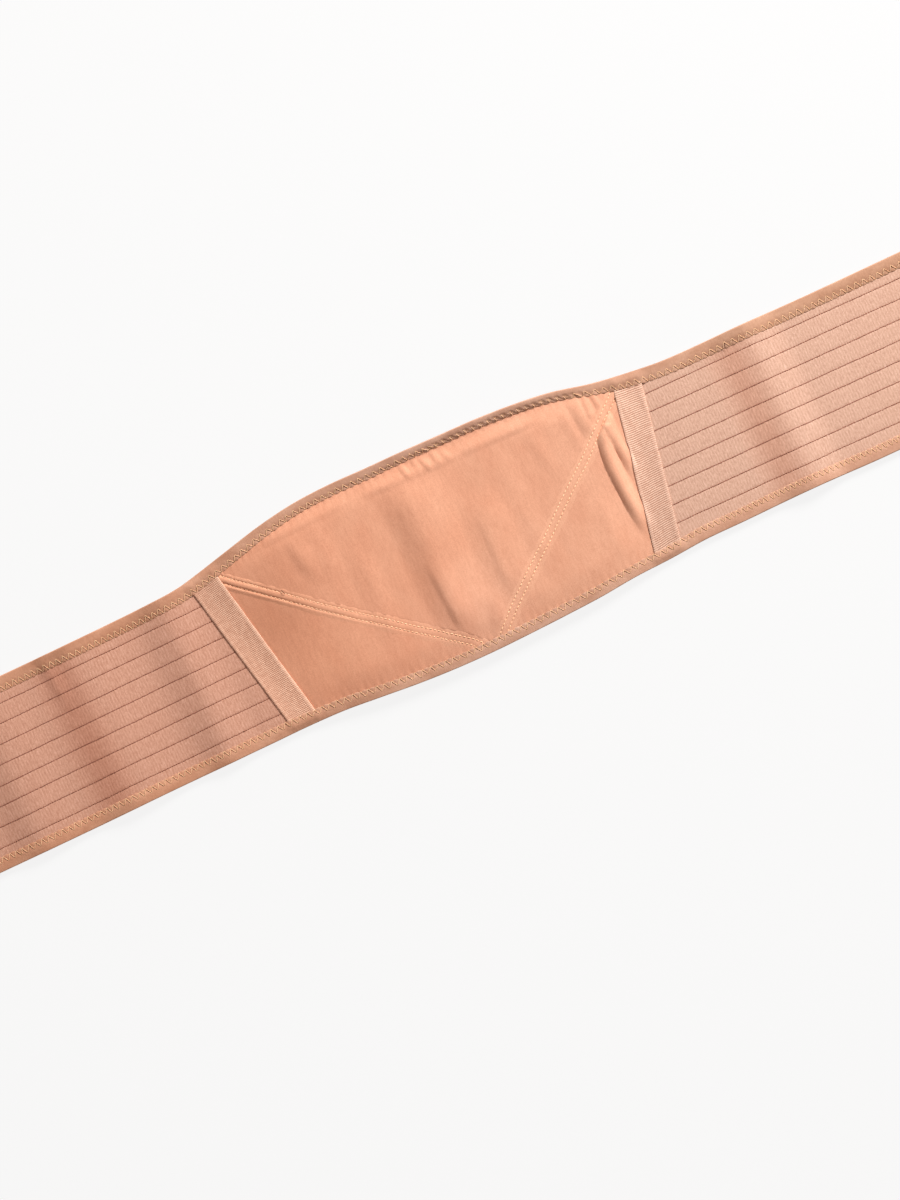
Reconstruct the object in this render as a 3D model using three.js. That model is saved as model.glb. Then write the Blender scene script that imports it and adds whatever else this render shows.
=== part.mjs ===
// Maternity support belt, lying open and face up.
// Millimetres. X runs along the belt, +Y is its top edge, +Z is up.
// Origin: middle of the belt's bounding box, on the surface that it lies on.
import * as THREE from 'three';

// ------------------------------------------------------------------ sizes
const BELT_LENGTH = 1040; // end to end, lying flat
const CORNER_RADIUS = 22; // rounded corners of the two ends
const END_BAND = 10.0; // width of the binding across the ends
const WING_CLOTH = 1.6; // ribbed elastic of the wings
const PANEL_CLOTH = 1.4; // double knit of the panels
const BINDING_WALL = 1.0; // one leg of the folded binding
const TAPE_THICKNESS = 0.9; // woven tape over the joints
const SEAM_THICKNESS = 0.8; // folded edge of the felled seams
const SEAM_WIDTH = 6.8; // felled seam, edge to edge
const GAP = 0.3; // play between neighbouring pieces
const HOOK_LENGTH = 60; // hook patch along the belt
const HOOK_WIDTH = 92; // hook patch across the belt
const HOOK_THICKNESS = 1.6;
const HOOK_CENTRE_X = 472;
const HOOK_CENTRE_Y = -8;
const HOOK_RADIUS = 6;

// ------------------------------------------------------------------ tables
// The belt's outline: top and bottom edge, width of the binding seen from
// above on each edge, and how high the top edge curls up.
const OUTLINE = [
  { x: -520, top: 54.5, bottom: -70.6, topBand: 10.5, bottomBand: 9.6, curl: 0 },
  { x: -308, top: 54.5, bottom: -70.7, topBand: 10.5, bottomBand: 9.6, curl: 0 },
  { x: -252, top: 54.7, bottom: -70.1, topBand: 10.5, bottomBand: 9.6, curl: 0 },
  { x: -196, top: 55.9, bottom: -70.0, topBand: 10.5, bottomBand: 9.6, curl: 0 },
  { x: -182, top: 57.1, bottom: -69.9, topBand: 10.4, bottomBand: 9.6, curl: 0 },
  { x: -168, top: 59.8, bottom: -69.9, topBand: 10.3, bottomBand: 9.6, curl: 0 },
  { x: -140, top: 66.1, bottom: -69.7, topBand: 10.0, bottomBand: 9.3, curl: 0.3 },
  { x: -112, top: 72.2, bottom: -70.4, topBand: 9.4, bottomBand: 8.9, curl: 0.9 },
  { x: -84, top: 76.3, bottom: -72.9, topBand: 8.7, bottomBand: 8.5, curl: 1.5 },
  { x: -56, top: 77.6, bottom: -75.5, topBand: 8.4, bottomBand: 8.4, curl: 2.2 },
  { x: -28, top: 77.1, bottom: -77.1, topBand: 8.2, bottomBand: 8.4, curl: 3.0 },
  { x: 0, top: 76.9, bottom: -77.6, topBand: 7.6, bottomBand: 8.4, curl: 3.9 },
  { x: 28, top: 76.2, bottom: -77.1, topBand: 7.0, bottomBand: 8.4, curl: 4.6 },
  { x: 56, top: 75.5, bottom: -76.2, topBand: 6.7, bottomBand: 8.4, curl: 4.8 },
  { x: 84, top: 73.6, bottom: -74.9, topBand: 6.7, bottomBand: 8.4, curl: 4.6 },
  { x: 112, top: 70.1, bottom: -72.5, topBand: 7.0, bottomBand: 8.6, curl: 3.6 },
  { x: 140, top: 63.7, bottom: -71.5, topBand: 8.6, bottomBand: 9.0, curl: 1.6 },
  { x: 168, top: 59.5, bottom: -69.7, topBand: 10.2, bottomBand: 9.5, curl: 0.3 },
  { x: 196, top: 56.7, bottom: -69.7, topBand: 10.5, bottomBand: 9.6, curl: 0 },
  { x: 252, top: 56.1, bottom: -69.4, topBand: 10.5, bottomBand: 9.6, curl: 0 },
  { x: 308, top: 55.2, bottom: -70.7, topBand: 10.5, bottomBand: 9.6, curl: 0 },
  { x: 520, top: 55.0, bottom: -70.6, topBand: 10.5, bottomBand: 9.6, curl: 0 },
];
const CURL_REACH = 14; // how far in from the top edge the curl begins

// Lines across the belt: where each one meets the top and the bottom edge, and
// the number of bays up to the next one. The tapes slant, so theirs do too.
const RIBS = [
  { name: 'corner_left', top: -498, bottom: -498, bays: 4 },
  { name: 'wave_left', top: -366, bottom: -366, bays: 22 },
  { name: 'tape_left_outer', top: -176.3, bottom: -152.0, bays: 1 },
  { name: 'joint_left', top: -165.7, bottom: -141.6, bays: 1 },
  { name: 'tape_left_inner', top: -155.0, bottom: -131.1, bays: 19 },
  { name: 'vee', top: 4.0, bottom: 7.0, bays: 19 },
  { name: 'tape_right_inner', top: 154.9, bottom: 130.7, bays: 1 },
  { name: 'joint_right', top: 165.2, bottom: 141.2, bays: 1 },
  { name: 'tape_right_outer', top: 175.6, bottom: 151.7, bays: 7 },
  { name: 'wave_right', top: 224.0, bottom: 214.0, bays: 8 },
  { name: 'flat_right', top: 286.0, bottom: 286.0, bays: 7 },
  { name: 'corner_right', top: 498, bottom: 498, bays: 0 },
];

// Centre lines of the two felled seams, from the top edge down to the vee.
const SEAM_LINES = {
  left: [
    { x: -165.7, y: 61.4 },
    { x: -149.8, y: 47.8 },
    { x: -117.0, y: 19.8 },
    { x: -85.3, y: -6.8 },
    { x: -57.2, y: -28.3 },
    { x: -34.0, y: -46.0 },
    { x: -8.5, y: -63.6 },
    { x: 7.0, y: -76.4 },
  ],
  right: [
    { x: 165.2, y: 61.6 },
    { x: 150.5, y: 49.0 },
    { x: 134.0, y: 34.7 },
    { x: 110.2, y: 13.8 },
    { x: 91.0, y: -1.3 },
    { x: 70.6, y: -18.7 },
    { x: 50.0, y: -35.2 },
    { x: 27.3, y: -54.0 },
    { x: 7.0, y: -76.4 },
  ],
};

// The panel stands up a little between the tapes: height of its arch along the
// belt, on the belt's middle line.
const ARCH = [
  { x: -152.5, z: 0 },
  { x: -143, z: 0.5 },
  { x: -126, z: 2.3 },
  { x: -108, z: 4.1 },
  { x: -88, z: 5.2 },
  { x: -60, z: 5.0 },
  { x: 0, z: 4.6 },
  { x: 60, z: 4.8 },
  { x: 100, z: 4.6 },
  { x: 122, z: 3.4 },
  { x: 140, z: 1.3 },
  { x: 152.5, z: 0 },
];
const ARCH_EDGE_SHARE = 0.4; // share of the arch that reaches the edges
const ARCH_EDGE_REACH = 24; // distance from the edge where the arch is full

// Soft folds: a crest line from (x0, y0) to (x1, y1), how far its slopes reach
// to the left and the right, its height, and how far it fades at its ends.
const FOLDS = [
  { x0: -343, y0: -110, x1: -340, y1: 95, left: 26, right: 40, height: 2.6, fade: 5 },
  { x0: -272, y0: -110, x1: -270, y1: 95, left: 30, right: 54, height: 3.6, fade: 5 },
  { x0: -199, y0: -110, x1: -197, y1: 95, left: 20, right: 26, height: 2.6, fade: 5 },
  { x0: 252, y0: -110, x1: 254, y1: 95, left: 26, right: 26, height: 3.2, fade: 5 },
  { x0: -18, y0: -66, x1: -17, y1: 66, left: 30, right: 32, height: 2.8, fade: 26 },
  { x0: 33, y0: -52, x1: 34, y1: 22, left: 13, right: 16, height: 1.0, fade: 20 },
  { x0: 129, y0: -48, x1: 130, y1: 36, left: 9, right: 9, height: 1.6, fade: 20 },
];
const HOOK_RISE = { from: 372, to: 420, height: 0.6 }; // the right end lies on the hook patch

// Colours of the cloths.
const FINISHES = {
  panel: { color: 0xefa985, roughness: 0.92, metalness: 0 },
  wing: { color: 0xd9a283, roughness: 0.95, metalness: 0 },
  tape: { color: 0xdcab8c, roughness: 0.9, metalness: 0 },
  binding: { color: 0xbd8a66, roughness: 0.88, metalness: 0 },
  seam: { color: 0xf0ad86, roughness: 0.92, metalness: 0 },
  hook: { color: 0xd4a384, roughness: 0.8, metalness: 0 },
};

// ------------------------------------------------------------------ curves
const HALF = BELT_LENGTH / 2;
const CLOTH_EDGE = BINDING_WALL + GAP; // the cloth's edge, inside the fold of the binding
const clamp = (v, lo, hi) => Math.min(hi, Math.max(lo, v));
const smooth = (t) => { const s = clamp(t, 0, 1); return s * s * (3 - 2 * s); };
const lerp = (a, b, t) => a + (b - a) * t;

// Smooth curve through one column of a table.
function column(table, key, x) {
  const last = table.length - 1;
  if (x <= table[0].x) return table[0][key];
  if (x >= table[last].x) return table[last][key];
  let i = 0;
  while (x > table[i + 1].x) i++;
  const slope = (a, b) => (table[b][key] - table[a][key]) / (table[b].x - table[a].x);
  const tangent = (k) => (k === 0 || k === last ? 0 : slope(k - 1, k + 1));
  const h = table[i + 1].x - table[i].x;
  const t = (x - table[i].x) / h;
  const t2 = t * t;
  const t3 = t2 * t;
  return (2 * t3 - 3 * t2 + 1) * table[i][key] + (t3 - 2 * t2 + t) * h * tangent(i)
    + (3 * t2 - 2 * t3) * table[i + 1][key] + (t3 - t2) * h * tangent(i + 1);
}

const topEdge = (x) => column(OUTLINE, 'top', x);
const bottomEdge = (x) => column(OUTLINE, 'bottom', x);

// Height of one fold at a point.
function foldHeight(fold, x, y) {
  const dx = fold.x1 - fold.x0;
  const dy = fold.y1 - fold.y0;
  const length = Math.hypot(dx, dy);
  const along = ((x - fold.x0) * dx + (y - fold.y0) * dy) / length;
  const across = ((x - fold.x0) * dy - (y - fold.y0) * dx) / length;
  const reach = across < 0 ? fold.left : fold.right;
  const end = smooth(along / fold.fade) * smooth((length - along) / fold.fade);
  return fold.height * smooth(1 - Math.abs(across) / reach) * end;
}

// The arch follows the slant of the tapes near them.
function archHeight(x, y) {
  const slant = 0.2 * (y + 4) * smooth((Math.abs(x) - 50) / 60);
  const along = x - Math.sign(x) * slant;
  const toEdge = Math.min(topEdge(x) - y, y - bottomEdge(x));
  const share = ARCH_EDGE_SHARE + (1 - ARCH_EDGE_SHARE) * smooth(toEdge / ARCH_EDGE_REACH);
  return column(ARCH, 'z', along) * share;
}

function curlHeight(x, y) {
  const inside = 1 - (topEdge(x) - y) / CURL_REACH;
  return inside > 0 ? column(OUTLINE, 'curl', x) * inside * inside : 0;
}

// Height of the cloth's underside over the ground.
function ground(x, y) {
  let z = BINDING_WALL + GAP + archHeight(x, y) + curlHeight(x, y);
  for (const fold of FOLDS) z += foldHeight(fold, x, y);
  return z + HOOK_RISE.height * smooth((x - HOOK_RISE.from) / (HOOK_RISE.to - HOOK_RISE.from));
}

// A point at a height over the cloth's underside, square to the cloth.
function lifted(p, height) {
  const e = 0.5;
  const gx = (ground(p.x + e, p.y) - ground(p.x - e, p.y)) / (2 * e);
  const gy = (ground(p.x, p.y + e) - ground(p.x, p.y - e)) / (2 * e);
  const n = new THREE.Vector3(-gx, -gy, 1).normalize();
  return new THREE.Vector3(p.x, p.y, ground(p.x, p.y)).addScaledVector(n, height);
}

// ------------------------------------------------------------------ frames
// A frame is a point on the outline, the way inwards, and the binding's width.
function edgeFrame(x, isTop) {
  const edge = isTop ? topEdge : bottomEdge;
  const m = (edge(x + 0.5) - edge(x - 0.5));
  const n = new THREE.Vector2(isTop ? m : -m, isTop ? -1 : 1).normalize();
  return { p: new THREE.Vector2(x, edge(x)), n, band: column(OUTLINE, isTop ? 'topBand' : 'bottomBand', x) };
}

const CORNER_BAYS = 4;
function cornerFrame(side, isTop, step) {
  const x = side * (HALF - CORNER_RADIUS);
  const edge = isTop ? topEdge(x) : bottomEdge(x);
  const up = isTop ? 1 : -1;
  const angle = (step / CORNER_BAYS) * Math.PI / 2;
  const out = new THREE.Vector2(side * Math.sin(angle), up * Math.cos(angle));
  const centre = new THREE.Vector2(x, edge - up * CORNER_RADIUS);
  const band = lerp(column(OUTLINE, isTop ? 'topBand' : 'bottomBand', x), END_BAND, step / CORNER_BAYS);
  return { p: centre.clone().addScaledVector(out, CORNER_RADIUS), n: out.clone().negate(), band };
}

const inward = (frame, distance) => frame.p.clone().addScaledVector(frame.n, distance);

// All lines across the belt between the rounded corners.
const lines = [];
const lineAt = {};
RIBS.forEach((rib, i) => {
  lineAt[rib.name] = lines.length;
  const next = RIBS[i + 1];
  const count = next ? rib.bays : 1;
  for (let k = 0; k < count; k++) {
    const t = k / count;
    const xt = next ? lerp(rib.top, next.top, t) : rib.top;
    const xb = next ? lerp(rib.bottom, next.bottom, t) : rib.bottom;
    lines.push({ top: edgeFrame(xt, true), bottom: edgeFrame(xb, false) });
  }
});

// Places along one line: 0 at the cloth's bottom edge, 1 at its top edge.
function stops(line) {
  const a = inward(line.bottom, CLOTH_EDGE);
  const b = inward(line.bottom, line.bottom.band);
  const c = inward(line.top, line.top.band);
  const d = inward(line.top, CLOTH_EDGE);
  const total = a.distanceTo(b) + b.distanceTo(c) + c.distanceTo(d);
  const tb = a.distanceTo(b) / total;
  const tc = 1 - c.distanceTo(d) / total;
  const at = (t) => {
    if (t <= tb) return a.clone().lerp(b, t / tb);
    if (t < tc) return b.clone().lerp(c, (t - tb) / (tc - tb));
    return c.clone().lerp(d, (t - tc) / (1 - tc));
  };
  return { at, tb, tc, total };
}

// ------------------------------------------------------------------ solids
// Closed mesh from a list of points and a list of faces, with double points
// joined and empty faces left out.
function closedMesh(name, points, faces, finish) {
  const index = new Map();
  const position = [];
  const ids = points.map((p) => {
    const key = `${p.x.toFixed(3)},${p.y.toFixed(3)},${p.z.toFixed(3)}`;
    if (!index.has(key)) {
      index.set(key, position.length / 3);
      position.push(p.x, p.y, p.z);
    }
    return index.get(key);
  });
  const triangles = [];
  for (const [a, b, c] of faces) {
    const t = [ids[a], ids[b], ids[c]];
    if (t[0] !== t[1] && t[1] !== t[2] && t[2] !== t[0]) triangles.push(...t);
  }
  const geometry = new THREE.BufferGeometry();
  geometry.setAttribute('position', new THREE.Float32BufferAttribute(position, 3));
  geometry.setIndex(triangles);
  geometry.computeVertexNormals();
  const mesh = new THREE.Mesh(geometry, new THREE.MeshStandardMaterial(FINISHES[finish]));
  mesh.name = name;
  return mesh;
}

// A sheet of cloth from columns of points: column after column towards +X, and
// in each one from the bottom to the top.
function sheet(name, columns, low, high, finish) {
  const rows = columns[0].length;
  const count = columns.length * rows;
  const points = [];
  for (const height of [low, high]) for (const col of columns) for (const p of col) points.push(lifted(p, height));
  const id = (i, j, layer) => layer * count + i * rows + j;
  const faces = [];
  const quad = (a, b, c, d) => faces.push([a, b, c], [a, c, d]);
  const last = columns.length - 1;
  for (let i = 0; i < last; i++) {
    for (let j = 0; j < rows - 1; j++) {
      quad(id(i, j, 1), id(i + 1, j, 1), id(i + 1, j + 1, 1), id(i, j + 1, 1));
      quad(id(i, j + 1, 0), id(i + 1, j + 1, 0), id(i + 1, j, 0), id(i, j, 0));
    }
    quad(id(i, 0, 0), id(i + 1, 0, 0), id(i + 1, 0, 1), id(i, 0, 1));
    quad(id(i + 1, rows - 1, 0), id(i, rows - 1, 0), id(i, rows - 1, 1), id(i + 1, rows - 1, 1));
  }
  for (let j = 0; j < rows - 1; j++) {
    quad(id(0, j + 1, 0), id(0, j, 0), id(0, j, 1), id(0, j + 1, 1));
    quad(id(last, j, 0), id(last, j + 1, 0), id(last, j + 1, 1), id(last, j, 1));
  }
  return closedMesh(name, points, faces, finish);
}

// The folded binding: distance in from the edge, height over the cloth's
// underside. It holds the cloth's edge between its two legs.
function bindingSection(band) {
  const low = -(GAP + BINDING_WALL);
  const high = WING_CLOTH + GAP + BINDING_WALL;
  const shoulder = 1.2;
  return [
    { inner: band, height: high },
    { inner: shoulder, height: high },
    { inner: 0, height: high - 1.1 },
    { inner: 0, height: low + 1.1 },
    { inner: shoulder, height: low },
    { inner: band, height: low },
    { inner: band, height: -GAP },
    { inner: BINDING_WALL, height: -GAP },
    { inner: BINDING_WALL, height: WING_CLOTH + GAP },
    { inner: band, height: WING_CLOTH + GAP },
  ];
}

function binding(name, frames) {
  const sections = frames.map((f) => bindingSection(f.band).map((s) => lifted(inward(f, s.inner), s.height)));
  const size = sections[0].length;
  const points = sections.flat();
  const faces = [];
  for (let i = 0; i < sections.length - 1; i++) {
    for (let j = 0; j < size; j++) {
      const k = (j + 1) % size;
      const a = i * size + j;
      const b = i * size + k;
      const c = (i + 1) * size + k;
      const d = (i + 1) * size + j;
      faces.push([a, b, c], [a, c, d]);
    }
  }
  const flat = bindingSection(frames[0].band).map((s) => new THREE.Vector2(s.inner, s.height));
  const caps = THREE.ShapeUtils.triangulateShape(flat, []);
  const base = (sections.length - 1) * size;
  for (const [a, b, c] of caps) faces.push([c, b, a], [base + a, base + b, base + c]);
  const mesh = closedMesh(name, points, faces, 'binding');
  return volumeOf(mesh) < 0 ? turned(mesh) : mesh;
}

function volumeOf(mesh) {
  const p = mesh.geometry.getAttribute('position');
  const t = mesh.geometry.getIndex();
  const a = new THREE.Vector3();
  const b = new THREE.Vector3();
  const c = new THREE.Vector3();
  let volume = 0;
  for (let i = 0; i < t.count; i += 3) {
    a.fromBufferAttribute(p, t.getX(i));
    b.fromBufferAttribute(p, t.getX(i + 1));
    c.fromBufferAttribute(p, t.getX(i + 2));
    volume += a.dot(b.cross(c)) / 6;
  }
  return volume;
}

// The same mesh with its faces turned the other way.
function turned(mesh) {
  const t = Array.from(mesh.geometry.getIndex().array);
  for (let i = 0; i < t.length; i += 3) [t[i], t[i + 1]] = [t[i + 1], t[i]];
  mesh.geometry.setIndex(t);
  mesh.geometry.computeVertexNormals();
  return mesh;
}

// ------------------------------------------------------------------ wings
const WING_ROWS = 5;
function wing(side) {
  const start = side < 0 ? lineAt.corner_left : lineAt.joint_right;
  const end = side < 0 ? lineAt.joint_left : lineAt.corner_right;
  const rowsOf = (line) => {
    const s = stops(line);
    const list = [0];
    for (let k = 0; k <= WING_ROWS; k++) list.push(lerp(s.tb, s.tc, k / WING_ROWS));
    list.push(1);
    return list.map((t) => s.at(t));
  };
  const straight = lines.slice(start, end + 1).map(rowsOf);
  const corner = [];
  for (let k = 1; k <= CORNER_BAYS; k++) {
    corner.push(rowsOf({ top: cornerFrame(side, true, k), bottom: cornerFrame(side, false, k) }));
  }
  const lastCorner = corner[CORNER_BAYS - 1];
  const endX = side * (HALF - CLOTH_EDGE);
  corner.push(lastCorner.map((p) => new THREE.Vector2(endX, p.y)));
  const joint = side < 0 ? straight[straight.length - 1] : straight[0];
  joint.forEach((p) => { p.x += side * GAP / 2; });
  const columns = side < 0 ? [...corner.reverse(), ...straight] : [...straight, ...corner];
  return sheet(side < 0 ? 'wing_left' : 'wing_right', columns, 0, WING_CLOTH, 'wing');
}

// ------------------------------------------------------------------ panels
// Where a seam's centre line crosses a line across the belt.
function crossing(line, seam) {
  const s = stops(line);
  const below = (t) => {
    const p = s.at(t);
    return p.y < seamHeight(seam, p.x);
  };
  if (!below(0)) return 0;
  if (below(1)) return 1;
  let lo = 0;
  let hi = 1;
  for (let i = 0; i < 40; i++) {
    const mid = (lo + hi) / 2;
    if (below(mid)) lo = mid; else hi = mid;
  }
  return (lo + hi) / 2;
}

function seamHeight(seam, x) {
  const path = [...SEAM_LINES[seam]].sort((a, b) => a.x - b.x);
  if (x <= path[0].x) return path[0].y + (x - path[0].x) * slopeOf(path[0], path[1]);
  const last = path.length - 1;
  for (let i = 0; i < last; i++) if (x <= path[i + 1].x) return path[i].y + (x - path[i].x) * slopeOf(path[i], path[i + 1]);
  return path[last].y + (x - path[last].x) * slopeOf(path[last - 1], path[last]);
}
const slopeOf = (a, b) => (b.y - a.y) / (b.x - a.x);

const CENTER_ROWS = 7;
const SIDE_ROWS = 5;
const SEAM_PLAY = 0.2; // half of the play between two panels, measured across the belt

function centerPanel() {
  const columns = [];
  for (let i = lineAt.joint_left; i <= lineAt.joint_right; i++) {
    const s = stops(lines[i]);
    const seam = i < lineAt.vee ? 'left' : 'right';
    let ts = i === lineAt.vee ? 0 : crossing(lines[i], seam);
    if (i === lineAt.joint_left || i === lineAt.joint_right) ts = 1;
    ts = Math.min(1, ts + SEAM_PLAY / s.total);
    const low = Math.max(ts, s.tb);
    const high = Math.max(ts, s.tc);
    const list = [ts];
    for (let k = 0; k <= CENTER_ROWS; k++) list.push(lerp(low, high, k / CENTER_ROWS));
    list.push(1);
    const col = list.map((t) => s.at(t));
    if (i === lineAt.joint_left) col.forEach((p) => { p.x += GAP / 2; });
    if (i === lineAt.joint_right) col.forEach((p) => { p.x -= GAP / 2; });
    columns.push(col);
  }
  return sheet('center_panel', columns, 0, PANEL_CLOTH, 'panel');
}

function sidePanel(side) {
  const seam = side < 0 ? 'left' : 'right';
  const from = side < 0 ? lineAt.joint_left : lineAt.vee;
  const to = side < 0 ? lineAt.vee : lineAt.joint_right;
  const columns = [];
  for (let i = from; i <= to; i++) {
    const s = stops(lines[i]);
    let ts = crossing(lines[i], seam);
    if (i === lineAt.vee) ts = 0;
    if (i === lineAt.joint_left || i === lineAt.joint_right) ts = 1;
    ts = Math.max(0, ts - SEAM_PLAY / s.total);
    const low = Math.min(s.tb, ts);
    const high = Math.min(s.tc, ts);
    const list = [0];
    for (let k = 0; k <= SIDE_ROWS; k++) list.push(lerp(low, high, k / SIDE_ROWS));
    list.push(ts);
    const col = list.map((t) => s.at(t));
    if (i === lineAt.joint_left) col.forEach((p) => { p.x += GAP / 2; });
    if (i === lineAt.joint_right) col.forEach((p) => { p.x -= GAP / 2; });
    if (i === lineAt.vee) col.forEach((p) => { p.x += side * GAP; });
    columns.push(col);
  }
  return sheet(side < 0 ? 'side_panel_left' : 'side_panel_right', columns, 0, PANEL_CLOTH, 'panel');
}

// ------------------------------------------------------------------ tapes
const TAPE_ROWS = 6;
function tape(side) {
  const names = side < 0 ? ['tape_left_outer', 'joint_left', 'tape_left_inner'] : ['tape_right_inner', 'joint_right', 'tape_right_outer'];
  const columns = names.map((name) => {
    const s = stops(lines[lineAt[name]]);
    const low = s.tb + GAP / s.total;
    const high = s.tc - GAP / s.total;
    const col = [];
    for (let k = 0; k <= TAPE_ROWS; k++) col.push(s.at(lerp(low, high, k / TAPE_ROWS)));
    return col;
  });
  const low = WING_CLOTH + GAP;
  return sheet(side < 0 ? 'tape_left' : 'tape_right', columns, low, low + TAPE_THICKNESS, 'tape');
}

// ------------------------------------------------------------------ seams
function felledSeam(side) {
  const seam = side < 0 ? 'left' : 'right';
  const from = side < 0 ? lineAt.tape_left_inner : lineAt.vee + 1;
  const to = side < 0 ? lineAt.vee - 1 : lineAt.tape_right_inner;
  const tapeLine = lineAt[side < 0 ? 'tape_left_inner' : 'tape_right_inner'];
  const inside = (p) => {
    const tapeStops = stops(lines[tapeLine]);
    const a = tapeStops.at(tapeStops.tb);
    const b = tapeStops.at(tapeStops.tc);
    const edgeX = lerp(a.x, b.x, (p.y - a.y) / (b.y - a.y));
    const top = edgeFrame(p.x, true);
    const bottom = edgeFrame(p.x, false);
    const toTop = (top.p.y - p.y) * -top.n.y - top.band;
    const toBottom = (p.y - bottom.p.y) * bottom.n.y - bottom.band;
    return side * (edgeX - p.x) > GAP * 1.4 && toTop > GAP * 1.4 && toBottom > GAP * 1.4;
  };
  const columns = [];
  for (let i = from; i <= to; i++) {
    const s = stops(lines[i]);
    const c = s.at(crossing(lines[i], seam));
    const m = (seamHeight(seam, c.x + 2) - seamHeight(seam, c.x - 2)) / 4;
    const n = new THREE.Vector2(-m, 1).normalize();
    const a = c.clone().addScaledVector(n, -SEAM_WIDTH / 2);
    const b = c.clone().addScaledVector(n, SEAM_WIDTH / 2);
    if (inside(a) && inside(b)) columns.push([a, c, b]);
  }
  const low = PANEL_CLOTH + GAP + 0.05;
  return sheet(side < 0 ? 'seam_left' : 'seam_right', columns, low, low + SEAM_THICKNESS, 'seam');
}

// ------------------------------------------------------------------ bindings
// The binding along a stretch of one long edge, cut back a little where it
// meets its neighbour.
function longFrames(isTop, from, to, cutStart, cutEnd) {
  const list = lines.slice(lineAt[from], lineAt[to] + 1).map((line) => {
    const f = isTop ? line.top : line.bottom;
    return { p: f.p.clone(), n: f.n.clone(), band: f.band };
  });
  list[0].p.x += cutStart;
  list[list.length - 1].p.x -= cutEnd;
  return list;
}
function endFrames(side) {
  const list = [];
  for (let k = 0; k <= CORNER_BAYS; k++) list.push(cornerFrame(side, true, k));
  for (let k = CORNER_BAYS; k >= 0; k--) list.push(cornerFrame(side, false, k));
  list[0].p.x += side * GAP;
  list[list.length - 1].p.x += side * GAP;
  return list;
}

// ------------------------------------------------------------------ hook patch
function hookPatch() {
  const w = HOOK_LENGTH / 2;
  const h = HOOK_WIDTH / 2;
  const r = HOOK_RADIUS;
  const shape = new THREE.Shape();
  shape.moveTo(-w + r, -h);
  shape.lineTo(w - r, -h);
  shape.absarc(w - r, -h + r, r, -Math.PI / 2, 0, false);
  shape.lineTo(w, h - r);
  shape.absarc(w - r, h - r, r, 0, Math.PI / 2, false);
  shape.lineTo(-w + r, h);
  shape.absarc(-w + r, h - r, r, Math.PI / 2, Math.PI, false);
  shape.lineTo(-w, -h + r);
  shape.absarc(-w + r, -h + r, r, Math.PI, Math.PI * 1.5, false);
  const geometry = new THREE.ExtrudeGeometry(shape, { depth: HOOK_THICKNESS, bevelEnabled: false, curveSegments: 4 });
  const mesh = new THREE.Mesh(geometry, new THREE.MeshStandardMaterial(FINISHES.hook));
  mesh.name = 'hook_patch';
  mesh.position.set(HOOK_CENTRE_X, HOOK_CENTRE_Y, 0);
  return mesh;
}

// ------------------------------------------------------------------ belt
const belt = new THREE.Group();
belt.name = 'maternity_support_belt';
belt.add(
  centerPanel(), sidePanel(-1), sidePanel(1),
  felledSeam(-1), felledSeam(1),
  tape(-1), tape(1),
  wing(-1), wing(1),
  binding('binding_top_left', longFrames(true, 'corner_left', 'joint_left', 0, GAP / 2)),
  binding('binding_top_center', longFrames(true, 'joint_left', 'joint_right', GAP / 2, GAP / 2)),
  binding('binding_top_right', longFrames(true, 'joint_right', 'corner_right', GAP / 2, 0)),
  binding('binding_bottom', longFrames(false, 'corner_left', 'corner_right', 0, 0)),
  binding('binding_end_left', endFrames(-1)), binding('binding_end_right', endFrames(1)),
  hookPatch(),
);

export default belt;
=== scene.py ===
import math

import bpy
import numpy as np
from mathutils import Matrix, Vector


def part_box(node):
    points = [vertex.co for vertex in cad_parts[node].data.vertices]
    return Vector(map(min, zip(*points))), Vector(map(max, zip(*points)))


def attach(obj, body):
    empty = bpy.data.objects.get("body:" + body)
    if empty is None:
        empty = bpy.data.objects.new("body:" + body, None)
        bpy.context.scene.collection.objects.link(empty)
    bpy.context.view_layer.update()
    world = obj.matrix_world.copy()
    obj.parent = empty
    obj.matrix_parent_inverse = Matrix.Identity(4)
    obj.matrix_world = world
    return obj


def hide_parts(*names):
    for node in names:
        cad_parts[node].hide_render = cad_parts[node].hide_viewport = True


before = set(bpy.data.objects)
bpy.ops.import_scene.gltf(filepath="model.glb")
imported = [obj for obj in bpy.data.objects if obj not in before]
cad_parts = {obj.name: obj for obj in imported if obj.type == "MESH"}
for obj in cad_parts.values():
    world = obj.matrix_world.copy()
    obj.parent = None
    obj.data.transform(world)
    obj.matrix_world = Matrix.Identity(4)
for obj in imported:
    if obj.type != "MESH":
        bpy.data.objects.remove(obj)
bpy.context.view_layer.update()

# A maternity support belt lying open and face up. Sizes below are millimetres,
# X along the belt, +Y its top edge, +Z up; meshes are written in metres.

# ------------------------------------------------------------------ sizes
HALF = 520.0  # half of the belt's length
CORNER = 22.0  # rounded corners of the two ends
END_BAND = 10.0
WING_CLOTH = 1.6
PANEL_CLOTH = 1.4
EDGE = 1.3  # the cloth's edge, in from the outline
BASE = 1.3  # the cloth's underside over the ground, on the flat
CURL_STEPS = [(0.0, 1.0), (1.7, 0.86), (3.2, 0.72), (4.2, 0.56), (5.2, 0.39), (6.4, 0.18), (7.6, 0.06), (10.0, 0.0)]
CURL_SHARE = 0.50  # the roll's own thickness makes up the rest
ARCH_EDGE_SHARE = 0.4
ARCH_EDGE_REACH = 24.0
TAPE_WIDTH = 20.0
SEAM_HALF = 3.4
ROW_OFFSET = 2.3  # top stitching, out from the seam's centre line
STITCH_PITCH = 3.0
RNG = np.random.default_rng(64)

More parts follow.
